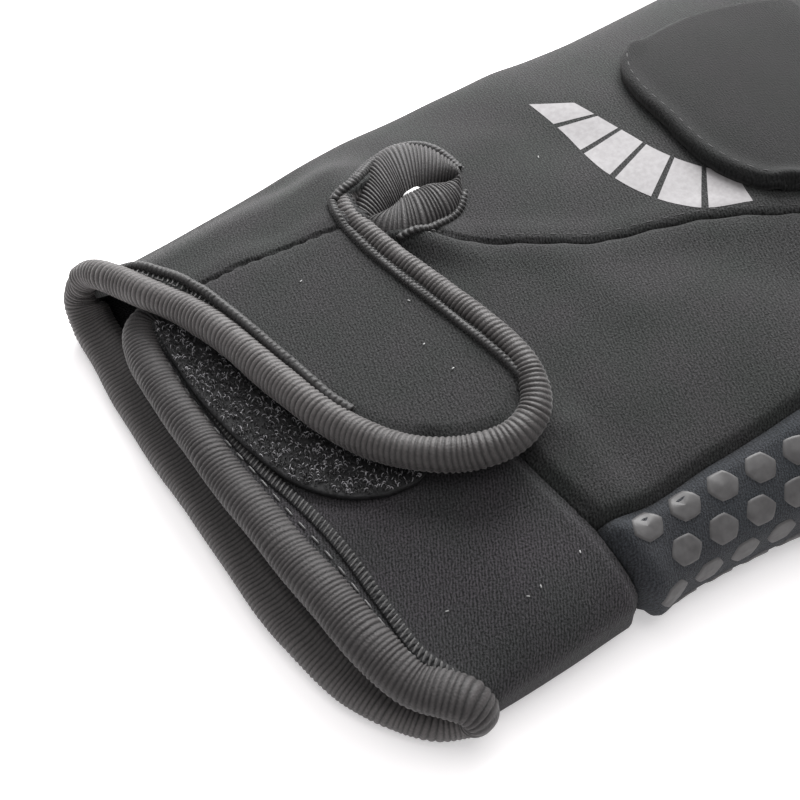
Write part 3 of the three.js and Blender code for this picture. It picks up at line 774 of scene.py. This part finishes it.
# Tab over the closure
tabPanel = {
    "cell": 0.6, "wall": 2.4, "softness": 0.06, "left": (0.5, 0.6, 0.1, 2.4),
    "bottom": (0.6, 3.6, 0, 3.0), "top": (0.6, 3.6, 0, 3.0), "right": (0.8, 3.2, 0, 3.0),
}
tabFront = curveThrough([(-27, 11.2), (-14, 14.4), (-3, 16.2), (6.4, 18.5), (13.7, 21.4), (18.6, 26.0)])
tabTip = curveThrough([(18.6, 26.0), (22, 31.6), (23.2, 37.2), (20.8, 41.6)])
tabBack = curveThrough([(-21.4, 41), (-12, 41.8), (-3, 43.2), (7, 44.4), (15.4, 44.4), (20.8, 41.6)])
tabRoot = curveThrough(tabSeam[:-1] + tabBack[:1].tolist())
tabPiece = panel(
    "tab_cloth", backSpot(tabShape["under"] + tabShape["thick"]), (tabFront, tabTip, tabBack, tabRoot),
    tabPanel, backKnit, ("wrist_tab",))
print("panels made")

# Bound edges: x, y and the height over the back, or over the table where a row ends in True
palmRows = [
    (48.8, 12.4, 3.7, True), (46.8, 9.4, 2.7, True), (43, 6.2, 2.3, True), (35, 2.4, 2.3, True),
    (20, 0.2, 2.3, True), (3, 0.2, 2.3, True), (-20, 0.3, 2.3, True), (-36, 1.4, 2.3, True),
    (-43, 1.8, 3.0, True), (-46, 2.2, 5.8, True), (-46.3, 3.0, 8.2, True), (-45.3, 3.8, 10.4, True)]
tabRows = [
    (-45.6, 3.6, 1.6), (-43.6, 4.8, 2.9), (-39.5, 6.2, 3.5), (-33, 8.4, 3.6), (-24, 11.9, 3.8), (-14, 14.2, 4),
    (-3, 16, 4), (6.4, 18.2, 4), (13.9, 21.2, 4), (19.2, 25.5, 4), (22.9, 31, 4), (24.2, 37, 4), (22.1, 42, 4),
    (16.6, 44.7, 4), (7, 44.6, 4), (-3, 43.3, 4), (-12, 42, 4), (-20.5, 41.2, 4), (-26.4, 41.5, 4),
    (-29.6, 43.2, 3.2), (-31, 45.4, 2.4)]
wristRows = [
    (-21.6, 42.6, -1.4), (-24.6, 33, -1.4), (-28.4, 21, -1.4), (-31, 11.5, -1.4), (-30.2, 6.9, -1.4),
    (-24.4, 4.3, -1.4), (-12.8, 3.4, -1.4), (2, 3.3, -1.4), (16, 4.0, -1.4), (28, 5.1, -1.4), (37, 6.3, -1.5),
    (43, 8.2, -1.7), (46.6, 10.9, 9.0, True), (48.9, 12.8, 8.3, True), (50.2, 13.6, 6.4, True),
    (49.6, 13.2, 4.9, True)]
cuffRoll = {
    "pitch": 0.77, "depth": 0.2, "slant": 0.55, "turn": 0.4, "wander": 0.5, "lumps": 0.12,
    "wide": 5.9, "high": 4.6, "spacing": 0.12, "sides": 24,
}
wristRoll = {
    **cuffRoll,
    "broad": ((0, 0.46, 0.58, 0.7, 0.8, 0.87, 0.925, 0.97, 1), (1, 1, 1.04, 1.11, 1.18, 1.2, 1.22, 1.1, 1)),
}
palmRoll = {**cuffRoll, "wide": 4.5, "tail": {"reach": 2.8, "at": 0.5, "spread": 0.5, "fade": 0.08}}
tabRoll = {
    **cuffRoll, "wide": 4.9, "high": 5.0, "pitch": 0.84, "depth": 0.24,
    "slim": ((0, 0.04, 0.1, 0.58, 0.68, 1), (0.9, 0.95, 1, 1, 0.76, 0.7)),
    # tone: painted shade, the ribs darker round the tip and along the back of the tab
    "tone": ((0, 0.36, 0.5, 0.64, 0.75, 1), (1, 1, 0.64, 0.64, 0.85, 0.85)),
}


def boundEdge(name, table, settings, seed, node, look):
    line = curveThrough(withHeights(table), settings["spacing"])
    obj = tube(name, line, ribbed(settings, seed), settings["sides"], looks[look])
    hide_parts(node)


boundEdge("palm_binding_roll", palmRows, palmRoll, 1, "palm_cuff_binding", "binding")
boundEdge("tab_binding_roll", tabRows, tabRoll, 2, "tab_binding", "binding")
boundEdge("wrist_binding_roll", wristRows, wristRoll, 3, "wrist_cuff_binding", "shaded binding")

# The gathered binding round the vent: two lobes that close on a slit
vent = {
    "pitch": 0.66, "depth": 0.3, "tone": 0.76, "high": 5.4, "loop": 640, "sides": 32, "sink": 0.8,
    "jitter": 0.4, "knots": 40, "seed": 5, "sharp": 0.8, "level": 0.6,
}
ventOuter = [
    (-29.2, 42.4), (-30.8, 45.2), (-33.4, 48.7), (-36.5, 52.6), (-38.1, 56.2), (-37.5, 59.6), (-34.6, 61.9),
    (-29.8, 62.5), (-25.6, 62.2), (-22, 60.6), (-18.8, 58), (-17, 54.8), (-16.1, 51.2), (-16, 47.8),
    (-16.8, 44.4), (-19.8, 42.2), (-25, 41.4)]
ventInner = [
    (-22.3, 45), (-23.9, 47.9), (-25.5, 51.4), (-26.2, 53.6), (-26.3, 55.6), (-25.3, 58), (-24, 59.8),
    (-23.1, 60.3), (-23, 59.4), (-24, 57.4), (-24.5, 55.6), (-24.7, 53.6), (-24.9, 51.2), (-23.3, 47.7),
    (-21.7, 44.9), (-21.8, 44.4)]


def closedLoop(points, spacing):
    return resample(curveThrough(points + points[:1], spacing), vent["loop"] + 1)[:-1]


def ventLobes():
    outer, inner = closedLoop(ventOuter, 0.2), closedLoop(ventInner, 0.1)
    loop, sides = vent["loop"], vent["sides"]
    mid, half = (outer + inner) / 2, (outer - inner) / 2
    lift = np.interp(mid[:, 1], (42, 46, 52, 58), (3.6, 2.2, 0.6, -0.4))
    leftLift = np.clip((-26 - mid[:, 0]) / 6, 0, 1)
    nearLift = 1.5 * np.clip((mid[:, 0] + 25) / 3, 0, 1) * smoothStep((60 - mid[:, 1]) / 6)
    level = backHeight(mid[:, 0], mid[:, 1]) + lift * (0.25 + 0.75 * leftLift) + nearLift - vent["sink"]
    run = np.cumsum(np.linalg.norm(np.diff(mid, axis=0, append=mid[:1]), axis=1))
    knots = np.random.default_rng(vent["seed"]).uniform(-vent["jitter"], vent["jitter"], vent["knots"])
    jitter = np.interp(np.arange(loop), np.linspace(0, loop, vent["knots"]), knots)
    turns = round(run[-1] / vent["pitch"])
    phase = run / run[-1] * turns + jitter
    rib = vent["depth"] * (np.abs(np.sin(math.pi * phase)) ** vent["sharp"] - vent["level"])
    ring = np.zeros((loop, sides, 3))
    for k, t in enumerate(circle(sides)):
        ring[:, k, :2] = mid + half * (np.cos(t) * (1 + rib / 3))[:, None]
        ring[:, k, 2] = level + (vent["high"] / 2 + rib) * np.sin(t)
    # The rib share sets the colour: painted shade in the rib valleys, painted highlight on the crests
    return ring, np.repeat(vent["tone"] * (rib / vent["depth"] + vent["level"])[:, None], sides, axis=1)


ring, ribShare = ventLobes()
index = np.arange(ring.size // 3).reshape(ring.shape[:2])
loopUv = gridUv(np.arange(vent["sides"] + 1) * 0.6, np.arange(vent["loop"] + 1) * 0.3)
ventPiece = addMesh("vent_binding_lobes", ring.reshape(-1, 3), ringQuads(np.vstack([index, index[:1]])),
                    looks["shaded binding"], loopUv, ribShare)
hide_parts("vent_binding")
print("bindings made")

# Flat pieces over the back or under it. Low is the height of the underside over the back.
def labelRise(x, y):
    return 5.1 * np.exp(-((x + 25.5) / 1.4) ** 2 - ((y - 54) / 2.7) ** 4)


flatPieces = {
    "loop_ground": {
        "node": "loop_patch", "low": 0.3, "wall": 0.9, "cell": 0.5, "look": "loop ground",
        "slot": "hook_and_loop",
        "rows": ([(-28, 7.4), (-18, 6.3), (-9.9, 6.0), (2.2, 7.3), (11.4, 10.0), (17.4, 14.4), (20, 19)],
                 [(20, 19), (20.5, 24), (18.5, 28)],
                 [(-22, 28), (-8, 30), (8, 30), (18.5, 28)],
                 [(-28, 7.4), (-26, 18), (-22, 28)]),
    },
    "hook_ground": {
        "node": "hook_patch", "low": 1.5, "wall": 0.9, "cell": 0.8, "look": "loop ground",
        "slot": "hook_and_loop",
        "rows": ([(-20, 15.6), (-10, 17.4), (0, 19.5), (8, 22.3), (14, 27)],
                 [(14, 27), (17, 33), (15.5, 39)],
                 [(-14, 39.4), (-4, 41), (8, 41.5), (15.5, 39)],
                 [(-20, 15.6), (-17.5, 30), (-14, 39.4)]),
    },
    "label_tape": {
        "node": "inner_label", "low": -4.85, "wall": 0.8, "cell": 0.5, "look": "label tape",
        "slot": "label", "extra": labelRise,
        "rows": ([(-31, 48), (-20, 48)], [(-20, 48), (-20, 60)],
                 [(-31, 60), (-20, 60)], [(-31, 48), (-31, 60)]),
    },
}
flatSoftness = 0.03
flatMade = {}
for name, piece in flatPieces.items():
    flatMade[name] = panel(
        name, backSpot(piece["low"] + piece["wall"]), [curveThrough(points) for points in piece["rows"]],
        {"cell": piece["cell"], "wall": piece["wall"], "softness": flatSoftness}, looks[piece["look"]],
        (piece["node"],), extra=piece.get("extra"))

# The raised panel over the knuckles
overlayRows = (
    [(-33.5, 102), (-30, 97.6), (-26, 95), (-19.9, 93.4), (-13, 92.9), (-6.5, 92.2), (-0.5, 92.4), (4.8, 94.1),
     (8.6, 96.4), (10.8, 99)],
    [(10.8, 99), (16, 107), (19, 117), (19.5, 129), (15, 135)],
    [(-28, 135), (15, 135)],
    [(-33.5, 103), (-34, 118), (-28, 135)],
)
overlayPanel = {
    "cell": 0.7, "wall": 1.3, "softness": 0.06, "high": 1.7, "bottom": (0.9, 1.3, 0.7, 1.6),
    "right": (0.9, 1.3, 0.7, 1.6), "left": (0.9, 1.6, 0, 1.6), "top": (0.9, 1.6, 0, 1.6),
}
overlayPiece = panel(
    "knuckle_overlay_cloth", backSpot(overlayPanel["high"]), [curveThrough(points) for points in overlayRows],
    overlayPanel, overlayKnit, ("knuckle_overlay",))

# Fingers and thumb: hollow tubes with a closed end
fingers = {
    "little_finger": {"x": -37.8, "y": 156, "turn": -7, "long": 60, "wide": 23.0, "high": 16.0, "back": -4},
    "ring_finger": {"x": -12.7, "y": 156, "turn": -2.5, "long": 78, "wide": 24.6, "high": 18.0, "back": -4},
    "middle_finger": {"x": 12.6, "y": 156, "turn": 2, "long": 86, "wide": 24.8, "high": 18.4, "back": -4},
    "index_finger": {"x": 37.7, "y": 156, "turn": 7, "long": 75, "wide": 24.4, "high": 17.0, "back": -4},
    "thumb": {"x": 44.0, "y": 96, "turn": 38, "long": 82, "wide": 27.0, "high": 19.0, "back": -2},
}
fingerGrid = {"rows": 80, "sides": 56, "ease": 1.35, "wall": 2.8, "lowest": 0.3}
fingerShape = {
    "bend": 0.62, "taper": 0.1, "flat": 0.35, "rise": 0.65, "under": 1.08, "girth": 0.85, "seam": 0.5,
    "seamWide": 0.12,
}
creases = {"at": (0.34, 0.66), "deep": 0.35, "wide": 2.2}


# Rings along one finger, at its skin or as far inside it as the wall is thick
def fingerSkin(size, inset):
    rings, sides = fingerGrid["rows"], fingerGrid["sides"]
    long = size["long"] - inset
    bend = size["wide"] * fingerShape["bend"]
    t = np.linspace(0, 1, rings)
    along = size["back"] + (long - size["back"]) * (1 - (1 - t) ** fingerGrid["ease"])
    turn = math.radians(size["turn"])
    angle = circle(sides)
    out = np.zeros((rings, sides, 3))
    for k, a in enumerate(along):
        tip = min(1, max(0, (a - long + bend) / bend))
        taper = 1 - fingerShape["taper"] * max(0, a / size["long"])
        swell = math.sqrt(max(1 - tip * tip, 0.0004)) * taper
        half = max((size["wide"] / 2 - inset) * swell, 0.15)
        low = inset + size["high"] / 4 * tip * tip
        share = fingerShape["flat"] + fingerShape["rise"] * swell
        high = low + max((size["high"] - 2 * inset) * share - low + inset, 0.5)
        near = (math.exp(-((a - size["long"] * at) / creases["wide"]) ** 2) for at in creases["at"])
        crease = creases["deep"] * sum(near)
        across = half * np.cos(angle)
        s = np.sin(angle)
        seam = fingerShape["seam"] * np.exp(-(np.minimum(np.abs(s), 1) / fingerShape["seamWide"]) ** 2)
        seam = seam * (1 if inset == 0 else 0)
        z = (low + high) / 2 + (high - low) / 2 * np.where(s < 0, fingerShape["under"] * s, s)
        z = np.maximum(z, low)
        z -= crease * np.maximum(s, 0)
        across -= np.sign(across) * seam
        out[k, :, 0] = size["x"] + a * math.sin(turn) + across * math.cos(turn)
        out[k, :, 1] = size["y"] + a * math.cos(turn) - across * math.sin(turn)
        out[k, :, 2] = np.maximum(z, fingerGrid["lowest"])
    return out


for name, size in fingers.items():
    skin, lining = fingerSkin(size, 0), fingerSkin(size, fingerGrid["wall"])
    count, sides = skin.shape[:2]
    girth = math.pi * size["wide"] * fingerShape["girth"]
    index = np.arange(count * sides).reshape(count, sides)
    total = count * sides
    side = ringQuads(index)
    turned = np.roll(index[0], -1)
    rim = np.stack([turned, index[0], index[0] + total, turned + total], -1)
    quads = np.vstack([side, side[:, ::-1] + total, rim]).tolist()
    quads += [index[-1].tolist(), (index[-1][::-1] + total).tolist()]
    flatU = np.tile(np.linspace(0, girth, sides + 1)[:-1], count * 2)
    flatV = np.tile(np.repeat(np.linspace(0, size["long"], count), sides), 2)
    loops = [i for face in quads for i in face]
    verts = np.vstack([skin.reshape(-1, 3), lining.reshape(-1, 3)])
    obj = addMesh(f"{name}_cloth", verts, quads, sideKnit, np.stack([flatU, flatV], -1)[loops])
    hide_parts(name)
print("fingers made")

# Stitching along the bindings
smoothReach = 1.3  # mm on each side, over which a line is evened out


def besideLine(points, tree, lift, spacing):
    line = curveThrough(points, spacing)
    spots, normals = onTop(tree, line, lift)
    half = int(smoothReach / spacing)
    kernel = np.ones(2 * half + 1) / (2 * half + 1)
    for k in range(3):
        padded = np.pad(spots[:, k], half, mode="reflect", reflect_type="odd")
        spots[:, k] = np.convolve(padded, kernel, "valid")
    return spots, normals


braidBase = {
    "depth": 0.3, "slant": 0.9, "turn": 0.0, "wander": 0.3, "lumps": 0.04,
    "lift": 0.25, "side": 1, "reach": 0.85, "sink": 0.4, "bar": 1.0, "look": "braid",
}
bar = {"wide": 0.3, "high": 0.26, "lean": 0.35}
braidStep = 0.1
braidSides = 12


# A braided ridge with short bars of thread, a little aslant, on it or beside it
def ladder(name, points, tree, settings):
    spots, normals = besideLine(points, tree, settings["lift"], braidStep)
    radii = ribbed(settings, len(spots))
    tube(f"{name}_ridge", spots, radii, braidSides, looks[settings["look"]])
    tangent = normalised(np.gradient(spots, axis=0))
    away = normalised(np.cross(tangent, normals)) * settings["side"]
    step = max(int(round(settings["pitch"] / braidStep)), 1)
    picks = slice(2, -2, step)
    centres = (spots + away * settings["reach"] - normals * settings["sink"])[picks]
    lean = normalised(away[picks] + bar["lean"] * tangent[picks])
    stitches(f"{name}_bars", centres, lean, normals[picks], settings["bar"], bar["wide"], bar["high"],
             looks["thread"])


topTree = treeOf(backPiece, tabPiece, sidePiece, cuffPiece, overlayPiece)
braids = {
    "tab_front": {
        "rows": [(-43, 8.0), (-40.2, 9.0), (-35, 11.2), (-30.5, 13.2), (-26, 14.8), (-19.5, 16.1),
                 (-11.5, 17.4), (-2.5, 18.8), (4, 19.8), (8, 21)],
        "pitch": 1.0, "wide": 1.6, "reach": 1.1, "sink": 0.12, "bar": 1.2},
    "tab_back": {
        "rows": [(-28.6, 40.2), (-28.2, 40), (-24.5, 38.9), (-16.1, 38.6), (-8.2, 39.5), (2.7, 41), (13, 42.4),
                 (18.3, 42.9)],
        "pitch": 0.8, "wide": 1.25, "side": -1, "sink": 0.3},
    # Here the ridge is a flat near-black strip: painted shade of the valley between the roll and the cloth,
    # with the bars on it
    "cuff_front": {
        "rows": [(-28.6, 8.4), (-25.1, 7.6), (-16.3, 7.3), (-7.8, 6.9), (3.5, 7.2), (15, 9.1), (23.6, 9.9),
                 (32.8, 10), (41.2, 10.4), (45.6, 12.6)],
        "lift": 0.05, "pitch": 0.82, "wide": 1.9, "high": 0.5, "reach": 0.05, "sink": -0.3, "bar": 1.7,
        "look": "loop ground"},
    "vent": {
        "rows": [(-28.3, 40.4), (-29.2, 41.8), (-30.3, 44.8), (-32.8, 48.3), (-35.9, 52.2), (-37.8, 56.3),
                 (-37.4, 59.4), (-34.4, 62), (-29.7, 62.6), (-25.5, 62.3)],
        "lift": 0.3, "pitch": 0.88, "wide": 1.35, "side": -1},
    "vent_low": {
        "rows": [(-16.4, 44.6), (-15.9, 47.6), (-15.9, 51), (-16.8, 54.9), (-18.3, 57.9), (-20.6, 60)],
        "lift": 0.1, "pitch": 0.88, "wide": 1.2, "reach": 0.8},
}
for name, braid in braids.items():
    ladder(name, braid["rows"], topTree, {**braidBase, "high": braid["wide"] * 0.85, **braid})

# Rows of dashes: between a roll and its ladder, along the back seam and inside the knuckle panel's edge
dashStep = 0.25
dashRows = {
    "cuff_dashes": {
        "rows": [(-26, 6.2), (-12.3, 5.5), (-5.3, 5.5), (7.1, 6.4), (14.1, 6.9), (22.3, 7.7), (30.5, 8.2),
                 (39.1, 8.8), (44, 10.8)],
        "pitch": 3.0, "long": 1.7, "wide": 0.34, "look": "bright thread", "lift": 0.12},
    "tab_dashes": {
        "rows": [(-38, 8.2), (-30.5, 11.6), (-19.5, 14.6), (-2.5, 17.3), (2, 18.4)],
        "pitch": 3.0, "long": 1.5, "wide": 0.28, "look": "thread", "lift": 0.06},
    "seam_stitches": {
        "rows": [(-9.2, 58.4), (-4.4, 64.4), (-0.2, 70.6), (2.4, 77.4), (5.6, 85.4), (9.4, 92), (13.9, 98.6),
                 (20, 112.4)],
        "pitch": 2.6, "long": 1.1, "wide": 0.2, "look": "dark thread", "lift": 0.0},
    "overlay_stitches": {
        "rows": [(x, y + 2.2) for x, y in overlayRows[0][1:-1]],
        "pitch": 2.6, "long": 1.3, "wide": 0.22, "look": "dark thread", "lift": 0.0},
}
for name, dash in dashRows.items():
    line, ups = besideLine(dash["rows"], topTree, dash["lift"], dashStep)
    along = normalised(np.gradient(line, axis=0))
    picks = slice(3, -3, max(int(round(dash["pitch"] / dashStep)), 1))
    stitches(name, line[picks], along[picks], ups[picks], dash["long"], dash["wide"], dash["wide"] * 0.8,
             looks[dash["look"]])
print("stitching made")

# Loops of the closure, small curled threads
loopArea = [
    (-27.7, 7.6), (-18, 6.5), (-9.9, 6.2), (2.2, 7.5), (11.3, 10.2), (17.2, 14.6), (19.8, 19.1), (20.3, 24),
    (18, 28), (-22, 28)]
loopField = {"x": (-28, 21), "y": (5.5, 26)}
curl = {
    "rings": 6, "sides": 3, "size": (0.16, 0.36), "lean": 0.5, "from": -0.15, "to": 1.15, "rise": 1.25,
    "foot": 0.1,
}


def loopFibres(name, count, seed, thick, look):
    noise = np.random.default_rng(seed)
    xs, ys = (noise.uniform(*loopField[k], count * 2) for k in ("x", "y"))
    good = insideOutline(xs, ys, loopArea)
    places = np.stack([xs[good][:count], ys[good][:count]], -1)
    spots, _ = onTop(treeOf(flatMade["loop_ground"]), places, 0)
    turn = noise.uniform(0, 2 * math.pi, len(spots))
    size = noise.uniform(*curl["size"], len(spots))
    lean = noise.uniform(-curl["lean"], curl["lean"], len(spots))
    t = np.linspace(curl["from"], curl["to"], curl["rings"]) * math.pi
    flatDir = np.stack([np.cos(turn), np.sin(turn), np.zeros_like(turn)], -1)
    sideDir = np.stack([-np.sin(turn), np.cos(turn), np.zeros_like(turn)], -1)
    path = (spots[:, None] + flatDir[:, None] * (size[:, None] * np.cos(t))[..., None]
            + np.array([0, 0, 1.0]) * (size[:, None] * (np.sin(t) * curl["rise"] + curl["foot"]))[..., None]
            + sideDir[:, None] * (lean[:, None] * size[:, None] * np.sin(t))[..., None])
    angle = circle(curl["sides"])
    tangent = normalised(np.gradient(path, axis=1))
    over = normalised(np.cross(tangent, sideDir[:, None]))
    body = (path[:, :, None] + sideDir[:, None, None] * (thick * np.cos(angle))[None, None, :, None]
            + over[:, :, None] * (thick * np.sin(angle))[None, None, :, None])
    index = np.arange(body.size // 3).reshape(body.shape[:3])
    addMesh(name, body.reshape(-1, 3), ringQuads(index), looks[look])


loopFibres("closure_loops", 3800, 11, 0.05, "loop thread")
# Brighter fibres among the loops: their light colour is painted glint
loopFibres("closure_loops_painted_glint", 1300, 12, 0.055, "loop glint")

# Hexagon grip dots, pressed on the grip fabric. Rings: share of the radius and of the height.
dots = {
    "rows": 22, "columns": 18, "apart": 5.8, "along": 6.2, "shift": 3.3, "first": 45.8, "last": 154,
    "radius": 2.4, "high": 0.22, "sides": 24, "turn": 0.1, "margin": 1.2, "until": 60, "reach": 3, "lift": 0.02,
    "rings": ((0.0, 1.0), (0.8, 0.95), (0.93, 0.75), (1.0, 0.0)), "round": 0.3, "corner": 0.7, "swell": 1.02,
}


def dotRings(tree, a, y):
    turn = rng.uniform(-dots["turn"], dots["turn"])
    spots = []
    for share, rise in dots["rings"]:
        for k in range(dots["sides"]):
            t = 2 * math.pi * k / dots["sides"] + turn
            corner = (t - turn + math.pi / 6) % (math.pi / 3) - math.pi / 6
            hexagon = math.cos(math.pi / 6) / math.cos(corner)
            r = dots["radius"] * share * (dots["round"] + dots["corner"] * hexagon) * dots["swell"]
            place = np.array([a + r * math.cos(t)]), np.array([y + r * math.sin(t)])
            spot, normal = ringSpot(flatRing)(*place)
            face = Vector(normal[0])
            start = Vector(toFrame(spot)[0]) + face * dots["reach"] * mm
            near, _, _, _ = tree.ray_cast(start, -face)
            near = near or start - face * dots["reach"] * mm
            lifted = np.array(near) / mm + np.array(face) * (dots["lift"] + dots["high"] * rise)
            lifted[0] -= cuffMiddle["x"]
            lifted[1] -= cuffMiddle["y"]
            lifted[2] = max(lifted[2], dots["lift"])
            spots.append(lifted)
    return spots


def gripDots():
    tree = treeOf(gripPiece)
    firstRow = float(overPoints(flatRing, [(43, dots["first"])])[0, 0])
    verts = []
    for row in range(dots["rows"]):
        for col in range(dots["columns"]):
            a = firstRow + row * dots["apart"]
            y = dots["first"] + col * dots["along"] + (dots["shift"] if row % 2 else 0)
            edge = float(np.interp(y, gripStart[:, 1], gripStart[:, 0]))
            if y > dots["last"] or a < edge + dots["margin"] or a > around + dots["until"]:
                continue
            verts += dotRings(tree, a, y)
    index = np.arange(len(verts)).reshape(-1, len(dots["rings"]), dots["sides"])
    addMesh("grip_dots", np.array(verts), ringQuads(index), looks["silicone"])


gripDots()
print("dots and loops made")

# Plain slanted bars along the arc where the print sits
printed = {"bars": 6, "gap": 0.14, "columns": 16, "rows": 20, "spacing": 0.25, "lift": 0.05}
printFoot = [(-33.3, 81.2), (-22.1, 80.9), (-10.3, 79.8), (-1.6, 81.7), (5.2, 85.9), (9, 93.2)]
printHead = [(-27.9, 86.6), (-15.8, 88.1), (-8.5, 89.3), (-2, 92), (2.6, 95.4)]


def printBars():
    tree = treeOf(backPiece)
    low, high = (curveThrough(points, printed["spacing"]) for points in (printFoot, printHead))
    nx, ny, gap = printed["columns"], printed["rows"], printed["gap"]
    verts, quads = [], []
    for bar in range(printed["bars"]):
        quads.append(cellsOf(len(verts) + np.arange((ny + 1) * (nx + 1)).reshape(ny + 1, nx + 1)))
        grid = []
        for j in range(ny + 1):
            for i in range(nx + 1):
                share = (bar + gap + (1 - gap) * i / nx) / printed["bars"]
                foot, top = placeAt(low, share), placeAt(high, share)
                grid.append(foot + (top - foot) * j / ny)
        spots, _ = onTop(tree, grid, printed["lift"])
        verts += spots.tolist()
    quads = np.vstack(quads).reshape(-1, 4)
    addMesh("printed_bars", np.array(verts), quads, looks["silver print"])


printBars()

# Lint on the cloth
lintSpots = np.array([
    (-3.5, 38), (4.6, 35.2), (10.7, 36), (-16.9, 27.6), (38, 16.5), (42.4, 26.4), (42.2, 28.6), (41, 36),
    (-20, 74)], float)
lint = {"lift": 0.12, "long": 0.5, "wide": 0.2, "high": 0.16}
lintPlace, lintUp = onTop(topTree, lintSpots, lint["lift"])
lintTurn = rng.uniform(0, fullTurn, len(lintSpots))
lintAlong = np.stack([np.cos(lintTurn), np.sin(lintTurn), np.zeros(len(lintSpots))], -1)
stitches("lint", lintPlace, lintAlong, lintUp, lint["long"], lint["wide"], lint["high"], looks["lint"])
print("print and lint made")

# Floor, light and camera
floorLook = {
    "Base Color": (0.93, 0.905, 0.91, 1), "Roughness": 0.9, "Specular IOR Level": 0.1,
    "Emission Color": (1, 0.99, 1, 1), "Emission Strength": 0.36,
}
bpy.ops.mesh.primitive_plane_add(size=6, location=(0, 0, -0.0002))
floor = bpy.context.active_object
floor.name = "floor"
floorMaterial, _, floorShader = newMaterial("floor")
for key, value in floorLook.items():
    floorShader.inputs[key].default_value = value
floor.data.materials.append(floorMaterial)

skyStrength = 0.52
world = bpy.data.worlds.new("studio")
bpy.context.scene.world = world
world.use_nodes = True
world.node_tree.nodes["Background"].inputs[0].default_value = (1, 1, 1, 1)
world.node_tree.nodes["Background"].inputs[1].default_value = skyStrength

lamps = {
    "back_left": {"at": (-0.46, 0.33, 0.42), "size": 0.5, "power": 14.5, "tint": (1, 1, 1)},
    "above": {"at": (0.0, 0.2, 1.3), "size": 1.2, "power": 9, "tint": (1, 0.99, 0.985)},
}
lampAim = Vector((0.0, -0.08, 0.01))
for name, lamp in lamps.items():
    data = bpy.data.lights.new(name, "AREA")
    data.shape, data.size, data.energy, data.color = "SQUARE", lamp["size"], lamp["power"], lamp["tint"]
    light = bpy.data.objects.new(name, data)
    bpy.context.collection.objects.link(light)
    light.location = lamp["at"]
    aim = lampAim - Vector(lamp["at"])
    light.rotation_euler = aim.to_track_quat("-Z", "Y").to_euler()

viewer = {"at": (0.10042, -0.16655, 0.181), "forward": (-0.5369, 0.3535, -0.7660), "lens": 67.5}
cameraData = bpy.data.cameras.new("camera")
camera = bpy.data.objects.new("camera", cameraData)
bpy.context.collection.objects.link(camera)
camera.location = viewer["at"]
camera.rotation_euler = Vector(viewer["forward"]).to_track_quat("-Z", "Y").to_euler()
cameraData.lens = viewer["lens"]
cameraData.sensor_width = 36
cameraData.clip_start = 0.005
bpy.context.scene.camera = camera
bpy.context.scene.view_settings.view_transform = "Standard"
